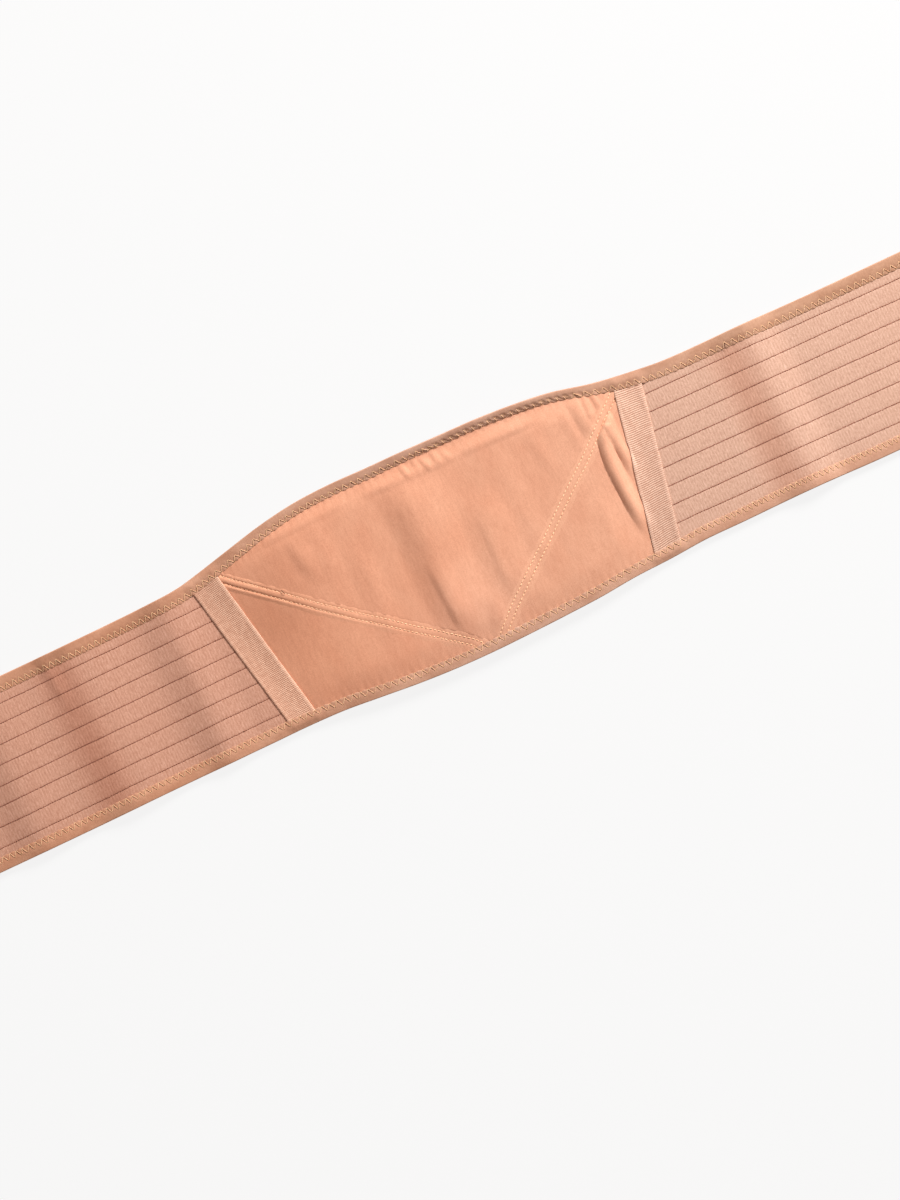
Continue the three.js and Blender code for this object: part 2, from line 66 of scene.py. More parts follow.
# ------------------------------------------------------------------ tables
# top and bottom edge, width of the binding seen from above, curl of the top edge
OUTLINE = [
    dict(x=-520, top=54.5, bottom=-70.6, top_band=10.5, bottom_band=9.6, curl=0.0),
    dict(x=-308, top=54.5, bottom=-70.7, top_band=10.5, bottom_band=9.6, curl=0.0),
    dict(x=-252, top=54.7, bottom=-70.1, top_band=10.5, bottom_band=9.6, curl=0.0),
    dict(x=-196, top=55.9, bottom=-70.0, top_band=10.5, bottom_band=9.6, curl=0.0),
    dict(x=-182, top=57.1, bottom=-69.9, top_band=10.4, bottom_band=9.6, curl=0.0),
    dict(x=-168, top=59.8, bottom=-69.9, top_band=10.3, bottom_band=9.6, curl=0.0),
    dict(x=-140, top=66.1, bottom=-69.7, top_band=10.0, bottom_band=9.3, curl=0.3),
    dict(x=-112, top=72.2, bottom=-70.4, top_band=9.4, bottom_band=8.9, curl=0.9),
    dict(x=-84, top=76.3, bottom=-72.9, top_band=8.7, bottom_band=8.5, curl=1.5),
    dict(x=-56, top=77.6, bottom=-75.5, top_band=8.4, bottom_band=8.4, curl=2.2),
    dict(x=-28, top=77.1, bottom=-77.1, top_band=8.2, bottom_band=8.4, curl=3.0),
    dict(x=0, top=76.9, bottom=-77.6, top_band=7.6, bottom_band=8.4, curl=3.9),
    dict(x=28, top=76.2, bottom=-77.1, top_band=7.0, bottom_band=8.4, curl=4.6),
    dict(x=56, top=75.5, bottom=-76.2, top_band=6.7, bottom_band=8.4, curl=4.8),
    dict(x=84, top=73.6, bottom=-74.9, top_band=6.7, bottom_band=8.4, curl=4.6),
    dict(x=112, top=70.1, bottom=-72.5, top_band=7.0, bottom_band=8.6, curl=3.6),
    dict(x=140, top=63.7, bottom=-71.5, top_band=8.6, bottom_band=9.0, curl=1.6),
    dict(x=168, top=59.5, bottom=-69.7, top_band=10.2, bottom_band=9.5, curl=0.3),
    dict(x=196, top=56.7, bottom=-69.7, top_band=10.5, bottom_band=9.6, curl=0.0),
    dict(x=252, top=56.1, bottom=-69.4, top_band=10.5, bottom_band=9.6, curl=0.0),
    dict(x=308, top=55.2, bottom=-70.7, top_band=10.5, bottom_band=9.6, curl=0.0),
    dict(x=520, top=55.0, bottom=-70.6, top_band=10.5, bottom_band=9.6, curl=0.0),
]
ARCH = [
    dict(x=-152.5, z=0.0), dict(x=-143, z=0.5), dict(x=-126, z=2.3), dict(x=-108, z=4.1),
    dict(x=-88, z=5.2), dict(x=-60, z=5.0), dict(x=0, z=4.6), dict(x=60, z=4.8),
    dict(x=100, z=4.6), dict(x=122, z=3.4), dict(x=140, z=1.3), dict(x=152.5, z=0.0),
]
# crest line from (x0, y0) to (x1, y1); reach of its two slopes; height; fade at
# its ends; crisp is 0 for a round crest and 1 for a sharp one
FOLDS = [
    # waves of the wings
    dict(x0=-343, y0=-110, x1=-340, y1=95, left=26, right=38, height=2.4, fade=5, crisp=0.05),
    dict(x0=-272, y0=-110, x1=-270, y1=95, left=29, right=50, height=3.4, fade=5, crisp=0.1),
    dict(x0=-199, y0=-110, x1=-197, y1=95, left=21, right=28, height=2.4, fade=5, crisp=0.08),
    dict(x0=252, y0=-110, x1=254, y1=95, left=30, right=28, height=3.4, fade=5, crisp=0.15),
    dict(x0=-286, y0=10, x1=-291, y1=70, left=7, right=9, height=0.6, fade=22, crisp=0.2),
    dict(x0=-216, y0=-60, x1=-212, y1=60, left=12, right=12, height=0.35, fade=30, crisp=0.0),
    # creases of the belly panel
    dict(x0=-8.0, y0=-68, x1=-9.5, y1=68, left=24, right=38, height=3.1, fade=32, crisp=0.08),
    dict(x0=-12.4, y0=-62, x1=-15.0, y1=4, left=5.4, right=16, height=0.90, fade=24, crisp=0.05),
    dict(x0=31, y0=-60, x1=37, y1=34, left=20, right=24, height=1.8, fade=30, crisp=0.05),
    dict(x0=28.6, y0=-48, x1=30, y1=14, left=3.6, right=7, height=0.28, fade=20, crisp=0.1),
    dict(x0=130.8, y0=36, x1=131.6, y1=60, left=3.4, right=4.0, height=1.05, fade=9, crisp=0.2),
    dict(x0=138.5, y0=44, x1=138.8, y1=60, left=3.0, right=3.4, height=0.7, fade=7, crisp=0.2),
    dict(x0=116.0, y0=20, x1=113.6, y1=60, left=7.0, right=6.0, height=0.35, fade=14, crisp=0.1),
    dict(x0=-90.0, y0=14, x1=-96.5, y1=60, left=9, right=16, height=0.95, fade=22, crisp=0.05),
    dict(x0=-76.0, y0=12, x1=-79.5, y1=60, left=8, right=12, height=0.35, fade=20, crisp=0.05),
    dict(x0=-60, y0=-60, x1=-56, y1=40, left=14, right=12, height=0.5, fade=30, crisp=0.1),
    dict(x0=62, y0=-50, x1=58, y1=58, left=12, right=14, height=0.4, fade=30, crisp=0.1),
    dict(x0=92, y0=10, x1=86, y1=60, left=9, right=10, height=0.35, fade=20, crisp=0.2),
    dict(x0=108, y0=-60, x1=112, y1=-5, left=12, right=10, height=0.5, fade=20, crisp=0.1),
    dict(x0=9, y0=-72, x1=19, y1=-34, left=9, right=9, height=0.6, fade=16, crisp=0.05),
    dict(x0=-130, y0=59.0, x1=-36, y1=61.6, left=8, right=4.6, height=0.50, fade=30, crisp=0.05),
    dict(x0=-44, y0=60.2, x1=40, y1=57.6, left=8, right=4.0, height=0.85, fade=20, crisp=0.1),
    dict(x0=24, y0=58.6, x1=104, y1=56.2, left=8, right=4.4, height=0.75, fade=26, crisp=0.05),
    # tucks under the top binding
    dict(x0=-2.0, y0=57.0, x1=-5.6, y1=69, left=2.4, right=3.8, height=0.85, fade=5, crisp=0.15),
    dict(x0=6.0, y0=59.5, x1=4.2, y1=71, left=2.2, right=3.4, height=0.7, fade=5, crisp=0.15),
    dict(x0=14.6, y0=55.0, x1=9.0, y1=69, left=2.4, right=3.8, height=0.9, fade=6, crisp=0.15),
    dict(x0=20.6, y0=57.5, x1=19.0, y1=69, left=2.2, right=3.4, height=0.65, fade=5, crisp=0.15),
    dict(x0=29.4, y0=56.0, x1=25.2, y1=66, left=2.4, right=4.0, height=0.6, fade=5, crisp=0.1),
]
# creases with a bent crest and a steep foot on their left
RIDGES = [
    dict(path=[dict(x=-54, c=133.4), dict(x=-34, c=131.6), dict(x=-18, c=130.6), dict(x=-6, c=130.1), dict(x=4, c=129.9),
               dict(x=13, c=130.5), dict(x=22, c=132.0), dict(x=34, c=134.6)],
         left=4.9, right=7.6, height=2.8, fade=34, fade_top=2, under=True),
    dict(path=[dict(x=-12, c=141.4), dict(x=6, c=141.0), dict(x=16, c=140.4), dict(x=28, c=139.8), dict(x=42, c=140.4)],
         left=4.4, right=5.2, height=2.0, fade=24, fade_top=2, under=True),
    dict(path=[dict(x=28, c=127.2), dict(x=44, c=126.0), dict(x=62, c=124.8)], left=7.0, right=5.5, height=1.0, fade=12, fade_top=9, under=False),
]
HOOK_RISE = dict(start=372.0, end=420.0, height=0.6)

SEAMS = {
    "left": [
        dict(x=-165.7, y=61.4), dict(x=-149.8, y=47.8), dict(x=-117.0, y=19.8), dict(x=-85.3, y=-6.9),
        dict(x=-57.6, y=-28.6), dict(x=-35.5, y=-46.0), dict(x=-12.0, y=-63.8), dict(x=3.0, y=-76.4),
    ],
    "right": [
        dict(x=3.0, y=-76.4), dict(x=14.2, y=-65.8), dict(x=26.4, y=-54.6), dict(x=50.0, y=-35.2),
        dict(x=70.6, y=-18.7), dict(x=91.0, y=-1.3), dict(x=110.2, y=13.8), dict(x=134.0, y=34.7),
        dict(x=150.5, y=49.0), dict(x=165.2, y=61.6),
    ],
}
APEX = 3.0
# the joint lines under the tapes, and the tapes' edges, bottom and top points
JOINTS = {
    "left": dict(bottom=(-141.6, -68.4), top=(-165.7, 61.0)),
    "right": dict(bottom=(141.2, -70.0), top=(165.2, 60.6)),
}
TAPES = {
    "left": dict(outer=((-152.1, -59.6), (-174.1, 48.6)), inner=((-131.3, -58.4), (-153.0, 52.4))),
    "right": dict(inner=((130.5, -62.8), (152.7, 51.1)), outer=((151.7, -60.9), (173.5, 49.2))),
}
# pin lines of the wings: height at the reference place, and its drift
PIN_LINES = {
    "left": dict(ref=-210.0, drift=0.010, reach=150.0, rows=(-54.0, -40.4, -27.3, -14.35, -1.05, 12.0, 25.3, 38.15)),
    "right": dict(ref=238.0, drift=-0.013, reach=150.0, rows=(-51.7, -39.0, -25.9, -12.7, 0.4, 13.6, 26.95, 40.0)),
}
# zigzag: length of one full stitch along the edge
ZIGZAG = [
    dict(x=-520, top=5.0, bottom=5.1), dict(x=-185, top=5.0, bottom=5.1), dict(x=-150, top=5.6, bottom=5.6),
    dict(x=150, top=5.7, bottom=5.7), dict(x=185, top=5.6, bottom=4.3), dict(x=520, top=5.6, bottom=4.3),
]


# ------------------------------------------------------------------ curves
def smooth(t):
    t = np.clip(t, 0.0, 1.0)
    return t * t * (3.0 - 2.0 * t)


def column(table, key, x):
    """Smooth curve through one column of a table, for an array of x."""
    x = np.asarray(x, dtype=float)
    xs = np.array([r["x"] for r in table], dtype=float)
    ys = np.array([r[key] for r in table], dtype=float)
    m = np.zeros(len(xs))
    m[1:-1] = (ys[2:] - ys[:-2]) / (xs[2:] - xs[:-2])
    q = np.clip(x, xs[0], xs[-1])
    i = np.clip(np.searchsorted(xs, q, side="right") - 1, 0, len(xs) - 2)
    h = xs[i + 1] - xs[i]
    t = (q - xs[i]) / h
    t2, t3 = t * t, t * t * t
    return (
        (2 * t3 - 3 * t2 + 1) * ys[i] + (t3 - 2 * t2 + t) * h * m[i]
        + (3 * t2 - 2 * t3) * ys[i + 1] + (t3 - t2) * h * m[i + 1]
    )


def top_edge(x):
    return column(OUTLINE, "top", x)


def bottom_edge(x):
    return column(OUTLINE, "bottom", x)


def lattice(seed, size=64):
    return np.random.default_rng(seed).random((size, size)) * 2.0 - 1.0


LATTICES = [lattice(s) for s in (11, 12, 13, 14, 15, 16)]


def noise(x, y, scale_x, scale_y, which=0):
    """Smooth noise from -1 to 1 whose features are about scale_x by scale_y."""
    g = LATTICES[which]
    n = g.shape[0]
    u, v = x / scale_x + 7.3, y / scale_y + 3.1
    i, j = np.floor(u).astype(int), np.floor(v).astype(int)
    fu, fv = smooth(u - i), smooth(v - j)
    a, b = g[i % n, j % n], g[(i + 1) % n, j % n]
    c, d = g[i % n, (j + 1) % n], g[(i + 1) % n, (j + 1) % n]
    return (a * (1 - fu) + b * fu) * (1 - fv) + (c * (1 - fu) + d * fu) * fv


def fold_height(f, x, y):
    dx, dy = f["x1"] - f["x0"], f["y1"] - f["y0"]
    length = math.hypot(dx, dy)
    along = ((x - f["x0"]) * dx + (y - f["y0"]) * dy) / length
    across = ((x - f["x0"]) * dy - (y - f["y0"]) * dx) / length
    reach = np.where(across < 0, f["left"], f["right"])
    s = np.clip(1.0 - np.abs(across) / reach, 0.0, 1.0)
    body = (1 - f["crisp"]) * smooth(s) + f["crisp"] * s * s
    return f["height"] * body * smooth(along / f["fade"]) * smooth((length - along) / f.get("fade_top", f["fade"]))


def ridge_height(r, x, y):
    ys = [p["x"] for p in r["path"]]
    across = x - column(r["path"], "c", y)
    s = np.clip(1.0 - np.abs(across) / np.where(across < 0, r["left"], r["right"]), 0.0, 1.0)
    body = np.where(across < 0, 0.75 * s * (2.0 - s) + 0.25 * smooth(s), smooth(s))
    high = r["height"] * body * smooth((y - ys[0]) / r["fade"]) * smooth((ys[-1] - y) / r["fade_top"])
    if r["under"]:  # it dies away under the seam
        high = high * smooth(((column(SEAMS["right"], "y", x) - y) * 0.76 - 1.4) / 3.2)
    return high


def arch_height(x, y):
    slant = 0.2 * (y + 4.0) * smooth((np.abs(x) - 50.0) / 60.0)
    along = x - np.sign(x) * slant
    to_edge = np.minimum(top_edge(x) - y, y - bottom_edge(x))
    least = np.where(y > 0, ARCH_EDGE_SHARE, ARCH_EDGE_SHARE + 0.25)
    share = least + (1 - least) * smooth(to_edge / ARCH_EDGE_REACH)
    return column(ARCH, "z", along) * share


def curl_height(x, y):
    inside = top_edge(x) - y
    share = np.interp(inside, [c[0] for c in CURL_STEPS], [c[1] for c in CURL_STEPS])
    return CURL_SHARE * column(OUTLINE, "curl", x) * share


def panel_share(x, y):
    """1 on the belly panel, 0 on the wings."""
    return smooth((156.0 + 0.19 * y - np.abs(x)) / 8.0)


def ground(x, y):
    """Height of the cloth's underside."""
    z = BASE + arch_height(x, y) + curl_height(x, y)
    for f in FOLDS:
        z = z + fold_height(f, x, y)
    for r in RIDGES:
        z = z + ridge_height(r, x, y)
    rise = smooth((x - HOOK_RISE["start"]) / (HOOK_RISE["end"] - HOOK_RISE["start"]))
    z = z + HOOK_RISE["height"] * rise
    soft = panel_share(x, y)
    z = z + soft * (0.10 * noise(x, y, 13.0, 60.0, 0) + 0.035 * noise(x, y, 6.0, 26.0, 1) + 0.2)
    return z + (1 - soft) * (0.06 * noise(x, y, 16.0, 48.0, 2) + 0.08)


def lifted(x, y, h):
    """Points at height h over the cloth's underside, square to the cloth."""
    x, y, h = np.broadcast_arrays(np.asarray(x, float), np.asarray(y, float), np.asarray(h, float))
    e = 0.4
    gx = (ground(x + e, y) - ground(x - e, y)) / (2 * e)
    gy = (ground(x, y + e) - ground(x, y - e)) / (2 * e)
    w = 1.0 / np.sqrt(1.0 + gx * gx + gy * gy)
    return np.stack([x - gx * w * h, y - gy * w * h, ground(x, y) + w * h], axis=-1)


# ------------------------------------------------------------------ meshes
def new_object(name, verts, faces, material, level=None, crease=None):
    """verts are an array in millimetres, faces a list of arrays of indices with the same number of corners in each."""
    mesh = bpy.data.meshes.new(name)
    verts = np.asarray(verts, dtype=np.float64).reshape(-1, 3) * 0.001
    mesh.vertices.add(len(verts))
    mesh.vertices.foreach_set("co", verts.astype(np.float32).ravel())
    loops = np.concatenate([np.asarray(f, dtype=np.int32).ravel() for f in faces])
    sizes = np.concatenate([np.full(len(f), np.asarray(f).shape[1], dtype=np.int32) for f in faces])
    starts = np.concatenate([[0], np.cumsum(sizes)[:-1]]).astype(np.int32)
    mesh.loops.add(len(loops))
    mesh.loops.foreach_set("vertex_index", loops)
    mesh.polygons.add(len(sizes))
    mesh.polygons.foreach_set("loop_start", starts)
    mesh.polygons.foreach_set("use_smooth", np.ones(len(sizes), dtype=bool))
    mesh.update(calc_edges=True)
    mesh.validate()
    if level is not None:
        a = mesh.attributes.new("level", "FLOAT", "POINT")
        a.data.foreach_set("value", np.asarray(level, dtype=np.float32).ravel())
    if crease is not None:
        mesh.set_sharp_from_angle(angle=math.radians(crease))
    obj = bpy.data.objects.new(name, mesh)
    bpy.context.scene.collection.objects.link(obj)
    mesh.materials.append(material)
    return obj


def sheet_object(name, x, y, low, high, material, level=None):
    """A closed sheet over a grid of places; low and high are heights over the cloth's underside."""
    ni, nj = x.shape
    top, bottom = lifted(x, y, high), lifted(x, y, low)
    verts = np.concatenate([top.reshape(-1, 3), bottom.reshape(-1, 3)])
    idx = np.arange(ni * nj).reshape(ni, nj)
    a, b, c, d = idx[:-1, :-1], idx[1:, :-1], idx[1:, 1:], idx[:-1, 1:]
    off = ni * nj
    up = np.stack([a, b, c, d], -1).reshape(-1, 4)
    down = np.stack([d, c, b, a], -1).reshape(-1, 4) + off
    rim = np.concatenate([idx[:, 0], idx[-1, 1:], idx[-2::-1, -1], idx[0, -2:0:-1]])
    nxt = np.roll(rim, -1)
    side = np.stack([rim, rim + off, nxt + off, nxt], -1)
    faces = [up, down, side]
    signed = np.sum(np.cross(top[1, 0] - top[0, 0], top[0, 1] - top[0, 0]) * np.array([0, 0, 1.0]))
    if signed < 0:
        faces = [f[:, ::-1] for f in faces]
    lev = None
    if level is not None:
        lev = np.concatenate([np.broadcast_to(level, x.shape).ravel(), np.full(off, 0.5)])
    return new_object(name, verts, faces, material, lev, crease=50)


def tubes(name, paths, radius, sides, material, taper=None):
    """Many short round threads. paths is (count, points, 3)."""
    paths = np.asarray(paths, dtype=float)
    count, m, _ = paths.shape
    tangent = np.gradient(paths, axis=1)
    tangent /= np.linalg.norm(tangent, axis=2, keepdims=True) + 1e-12
    ref = np.zeros_like(tangent)
    ref[..., 2] = 1.0
    steep = np.abs(tangent[..., 2]) > 0.92
    ref[steep] = (1.0, 0.0, 0.0)
    side = np.cross(tangent, ref)
    side /= np.linalg.norm(side, axis=2, keepdims=True) + 1e-12
    up = np.cross(side, tangent)
    r = radius * (np.ones(m) if taper is None else np.asarray(taper, dtype=float))
    ang = np.arange(sides) * 2 * math.pi / sides
    ring = side[:, :, None, :] * np.cos(ang)[None, None, :, None] + up[:, :, None, :] * np.sin(ang)[None, None, :, None]
    verts = paths[:, :, None, :] + ring * r[None, :, None, None]
    idx = np.arange(count * m * sides).reshape(count, m, sides)
    a, d = idx[:, :-1, :], idx[:, 1:, :]
    b, c = np.roll(a, -1, axis=2), np.roll(d, -1, axis=2)
    quads = np.stack([a, b, c, d], -1).reshape(-1, 4)
    caps = np.concatenate([idx[:, 0, ::-1], idx[:, -1, :]])
    return new_object(name, verts.reshape(-1, 3), [quads, caps], material)


# ------------------------------------------------------------------ materials
def rgb(r, g, b):
    """Linear colour from 0 to 255 display values."""
    def lin(v):
        v = v / 255.0
        return v / 12.92 if v <= 0.04045 else ((v + 0.055) / 1.055) ** 2.4
    return (lin(r), lin(g), lin(b), 1.0)


class Nodes:
    """A small helper for building a fabric's node tree."""

    def __init__(self, name):
        self.mat = bpy.data.materials.new(name)
        self.mat.use_nodes = True
        self.tree = self.mat.node_tree
        self.shader = self.tree.nodes["Principled BSDF"]
        self.where = self.tree.nodes.new("ShaderNodeTexCoord")

    def node(self, kind, **values):
        n = self.tree.nodes.new(kind)
        for k, v in values.items():
            setattr(n, k, v)
        return n

    def link(self, a, b):
        self.tree.links.new(a, b)

    def place(self, scale, rotation=0.0):
        m = self.node("ShaderNodeMapping")
        m.inputs["Scale"].default_value = scale
        m.inputs["Rotation"].default_value = (0, 0, rotation)
        self.link(self.where.outputs["Object"], m.inputs["Vector"])
        return m.outputs["Vector"]

    def noise(self, scale, detail=3.0, rough=0.55, rotation=0.0, distortion=0.0):
        n = self.node("ShaderNodeTexNoise")
        n.inputs["Scale"].default_value = 1.0
        n.inputs["Detail"].default_value = detail
        n.inputs["Roughness"].default_value = rough
        n.inputs["Distortion"].default_value = distortion
        self.link(self.place(scale, rotation), n.inputs["Vector"])
        return n.outputs["Fac"]

    def ramp(self, fac, stops):
        r = self.node("ShaderNodeValToRGB")
        ramp = r.color_ramp
        while len(ramp.elements) > 1:
            ramp.elements.remove(ramp.elements[-1])
        ramp.elements[0].position, ramp.elements[0].color = stops[0]
        for pos, col in stops[1:]:
            ramp.elements.new(pos).color = col
        self.link(fac, r.inputs["Fac"])
        return r.outputs["Color"]

    def mix(self, kind, fac, a, b):
        m = self.node("ShaderNodeMix", data_type="RGBA", blend_type=kind)
        if isinstance(fac, (int, float)):
            m.inputs["Factor"].default_value = fac
        else:
            self.link(fac, m.inputs["Factor"])
        for value, sock in ((a, m.inputs["A"]), (b, m.inputs["B"])):
            if isinstance(value, tuple):
                sock.default_value = value
            else:
                self.link(value, sock)
        return m.outputs["Result"]

    def math(self, op, a, b=None):
        m = self.node("ShaderNodeMath", operation=op)
        for value, sock in ((a, m.inputs[0]), (b, m.inputs[1])):
            if value is None:
                continue
            if isinstance(value, (int, float)):
                sock.default_value = value
            else:
                self.link(value, sock)
        return m.outputs[0]

    def attribute(self, name):
        return self.node("ShaderNodeAttribute", attribute_name=name).outputs["Fac"]

    def bump(self, height, strength, distance, before=None):
        b = self.node("ShaderNodeBump")
        b.inputs["Strength"].default_value = strength
        b.inputs["Distance"].default_value = distance
        self.link(height, b.inputs["Height"])
        if before is not None:
            self.link(before, b.inputs["Normal"])
        return b.outputs["Normal"]

    def finish(self, color, normal, rough, sheen=0.0, sheen_rough=0.5, tint=(1, 1, 1, 1), specular=0.25, subsurface=0.0):
        s = self.shader
        self.link(color, s.inputs["Base Color"])
        if normal is not None:
            self.link(normal, s.inputs["Normal"])
        if isinstance(rough, (int, float)):
            s.inputs["Roughness"].default_value = rough
        else:
            self.link(rough, s.inputs["Roughness"])
        s.inputs["Sheen Weight"].default_value = sheen
        s.inputs["Sheen Roughness"].default_value = sheen_rough
        s.inputs["Sheen Tint"].default_value = tint
        s.inputs["Specular IOR Level"].default_value = specular
        return self.mat


def painted_shading_patch(n, split, x, y, reach, c, tint):
    """The colour `c`, multiplied by `tint` round one place and plain past `reach` metres from it: a painted pool of
    light where the tint is above 1, painted shade where it is below 1.
    """
    dx, dy = n.math("ADD", split.outputs["X"], -x), n.math("ADD", split.outputs["Y"], -y)
    away = n.math("SQRT", n.math("ADD", n.math("MULTIPLY", dx, dx), n.math("MULTIPLY", dy, dy)))
    fade = n.ramp(n.math("MULTIPLY", away, 1.0 / reach), [(0.15, (0, 0, 0, 1)), (1.0, (1, 1, 1, 1))])
    return n.mix("MIX", fade, n.mix("MULTIPLY", 1.0, c, tint), c)


def panel_knit(name, base, dark, light):
    n = Nodes(name)
    wales = n.noise((780, 130, 130), detail=2.0, rough=0.55)
    courses = n.noise((420, 1250, 400), detail=1.5, rough=0.5)
    fine = n.noise((1500, 1500, 900), detail=2.0, rough=0.6)
    mottle = n.noise((52, 30, 30), detail=4.0, rough=0.55)
    worn = n.noise((14, 11, 11), detail=2.0, rough=0.5)
    c = n.ramp(mottle, [(0.26, dark), (0.52, base), (0.78, light)])
    c = n.mix("MULTIPLY", 0.65, c, n.ramp(wales, [(0.34, (0.90, 0.86, 0.84, 1)), (0.62, (1.0, 1.0, 1.0, 1))]))
    c = n.mix("MULTIPLY", 0.35, c, n.ramp(courses, [(0.34, (0.90, 0.87, 0.86, 1)), (0.6, (1.0, 1.0, 1.0, 1))]))
    c = n.mix("MULTIPLY", 0.85, c, n.ramp(fine, [(0.32, (0.86, 0.81, 0.79, 1)), (0.62, (1.0, 1.0, 1.0, 1))]))
    c = n.mix("MULTIPLY", 0.3, c, n.ramp(worn, [(0.35, (0.96, 0.90, 0.87, 1)), (0.6, (1.0, 1.0, 1.0, 1))]))
    split = n.node("ShaderNodeSeparateXYZ")
    n.link(n.where.outputs["Object"], split.inputs[0])
    # painted light falloff: darker and more saturated towards the left, paler towards the right
    along = n.math("MULTIPLY", n.math("ADD", split.outputs["X"], 0.13), 3.85)
    c = n.mix("MULTIPLY", 1.0, c, n.mix("MIX", along, (0.955, 0.925, 0.895, 1), (0.965, 1.03, 1.055, 1)))
    # painted shading: a pool of light on the belly panel above the seams' V, painted shade on the top of the left side
    # panel and a little painted light below it
    c = painted_shading_patch(n, split, 0.0, -0.052, 0.050, c, (1.07, 1.11, 1.15, 1))
    c = painted_shading_patch(n, split, -0.133, 0.008, 0.040, c, (0.91, 0.87, 0.84, 1))
    c = painted_shading_patch(n, split, -0.110, -0.034, 0.040, c, (1.05, 1.05, 1.04, 1))
    normal = n.bump(wales, 0.10, 0.0002)
    normal = n.bump(fine, 0.14, 0.0002, normal)
    rough = n.math("ADD", n.math("MULTIPLY", mottle, 0.12), 0.78)
    return n.finish(c, normal, rough, sheen=0.18, sheen_rough=0.5, tint=rgb(255, 224, 204), specular=0.18)


def wing_elastic(name, base, dark, light, painted_shade_x):
    n = Nodes(name)
    ribs = n.noise((1400, 330, 330), detail=1.5, rough=0.45)
    checks = n.noise((1300, 1050, 900), detail=2.0, rough=0.55)
    fine = n.noise((2600, 2600, 900), detail=1.5, rough=0.5)
    mottle = n.noise((60, 16, 16), detail=3.0, rough=0.55)
    lines = n.node("ShaderNodeTexWave", wave_type="BANDS", bands_direction="X")
    lines.inputs["Scale"].default_value = 143.0
    lines.inputs["Distortion"].default_value = 1.6
    lines.inputs["Detail"].default_value = 2.0
    lines.inputs["Detail Scale"].default_value = 1.5
    n.link(n.where.outputs["Object"], lines.inputs["Vector"])
    c = n.ramp(ribs, [(0.26, dark), (0.5, base), (0.74, light)])
    c = n.mix("MULTIPLY", 0.75, c, n.ramp(lines.outputs["Fac"], [(0.15, (0.90, 0.85, 0.83, 1)), (0.75, (1.0, 1.0, 1.0, 1))]))
    c = n.mix("MULTIPLY", 0.6, c, n.ramp(checks, [(0.32, (0.80, 0.73, 0.70, 1)), (0.58, (1.0, 1.0, 1.0, 1))]))
    c = n.mix("MULTIPLY", 0.6, c, n.ramp(fine, [(0.32, (0.80, 0.75, 0.73, 1)), (0.6, (1.0, 1.0, 1.0, 1))]))
    c = n.mix("MULTIPLY", 0.3, c, n.ramp(mottle, [(0.3, (0.93, 0.88, 0.86, 1)), (0.7, (1.0, 1.0, 1.0, 1))]))
    split = n.node("ShaderNodeSeparateXYZ")
    n.link(n.where.outputs["Object"], split.inputs[0])
    # painted shade: warmer and more saturated round the wave's shaded band at the given x; paler and cooler elsewhere,
    # as painted light
    away = n.math("ABSOLUTE", n.math("ADD", split.outputs["X"], -painted_shade_x), 0.0)
    fade = n.ramp(n.math("MULTIPLY", away, 46.0), [(0.15, (0, 0, 0, 1)), (0.95, (1, 1, 1, 1))])
    c = n.mix("MIX", fade, n.mix("MULTIPLY", 1.0, c, (0.98, 0.93, 0.90, 1)), n.mix("MULTIPLY", 1.0, c, (0.985, 1.045, 1.06, 1)))
    normal = n.bump(ribs, 0.08, 0.0002)
    normal = n.bump(checks, 0.12, 0.0002, normal)
    rough = n.math("ADD", n.math("MULTIPLY", ribs, 0.1), 0.82)
    return n.finish(c, normal, rough, sheen=0.3, sheen_rough=0.45, tint=rgb(255, 228, 212), specular=0.15)


def joint_tape(name, deep, base, light, turn, foot, head):
    n = Nodes(name)
    level = n.attribute("level")
    fibre = n.noise((2600, 2600, 900), detail=2.0, rough=0.6)
    bands = n.noise((260, 12, 12), detail=1.5, rough=0.5, rotation=turn)
    # painted shade in the weave's low places and painted light on its raised knots, following the relief level
    c = n.ramp(level, [(0.05, deep), (0.42, base), (0.9, light)])
    c = n.mix("MULTIPLY", 0.45, c, n.ramp(bands, [(0.3, (0.80, 0.76, 0.74, 1)), (0.62, (1.0, 1.0, 1.0, 1))]))
    c = n.mix("MULTIPLY", 0.4, c, n.ramp(fibre, [(0.3, (0.82, 0.78, 0.76, 1)), (0.6, (1.0, 1.0, 1.0, 1))]))
    split = n.node("ShaderNodeSeparateXYZ")
    n.link(n.where.outputs["Object"], split.inputs[0])
    along = n.math("MULTIPLY", n.math("ADD", split.outputs["Y"], 0.04), 12.5)
    c = n.mix("MULTIPLY", 1.0, c, n.ramp(along, [(0.0, (foot, foot, foot, 1)), (1.0, (head, head, head, 1))]))
    return n.finish(c, n.bump(fibre, 0.4, 0.0002), 0.85, sheen=0.25, sheen_rough=0.45, tint=rgb(255, 232, 215), specular=0.2)


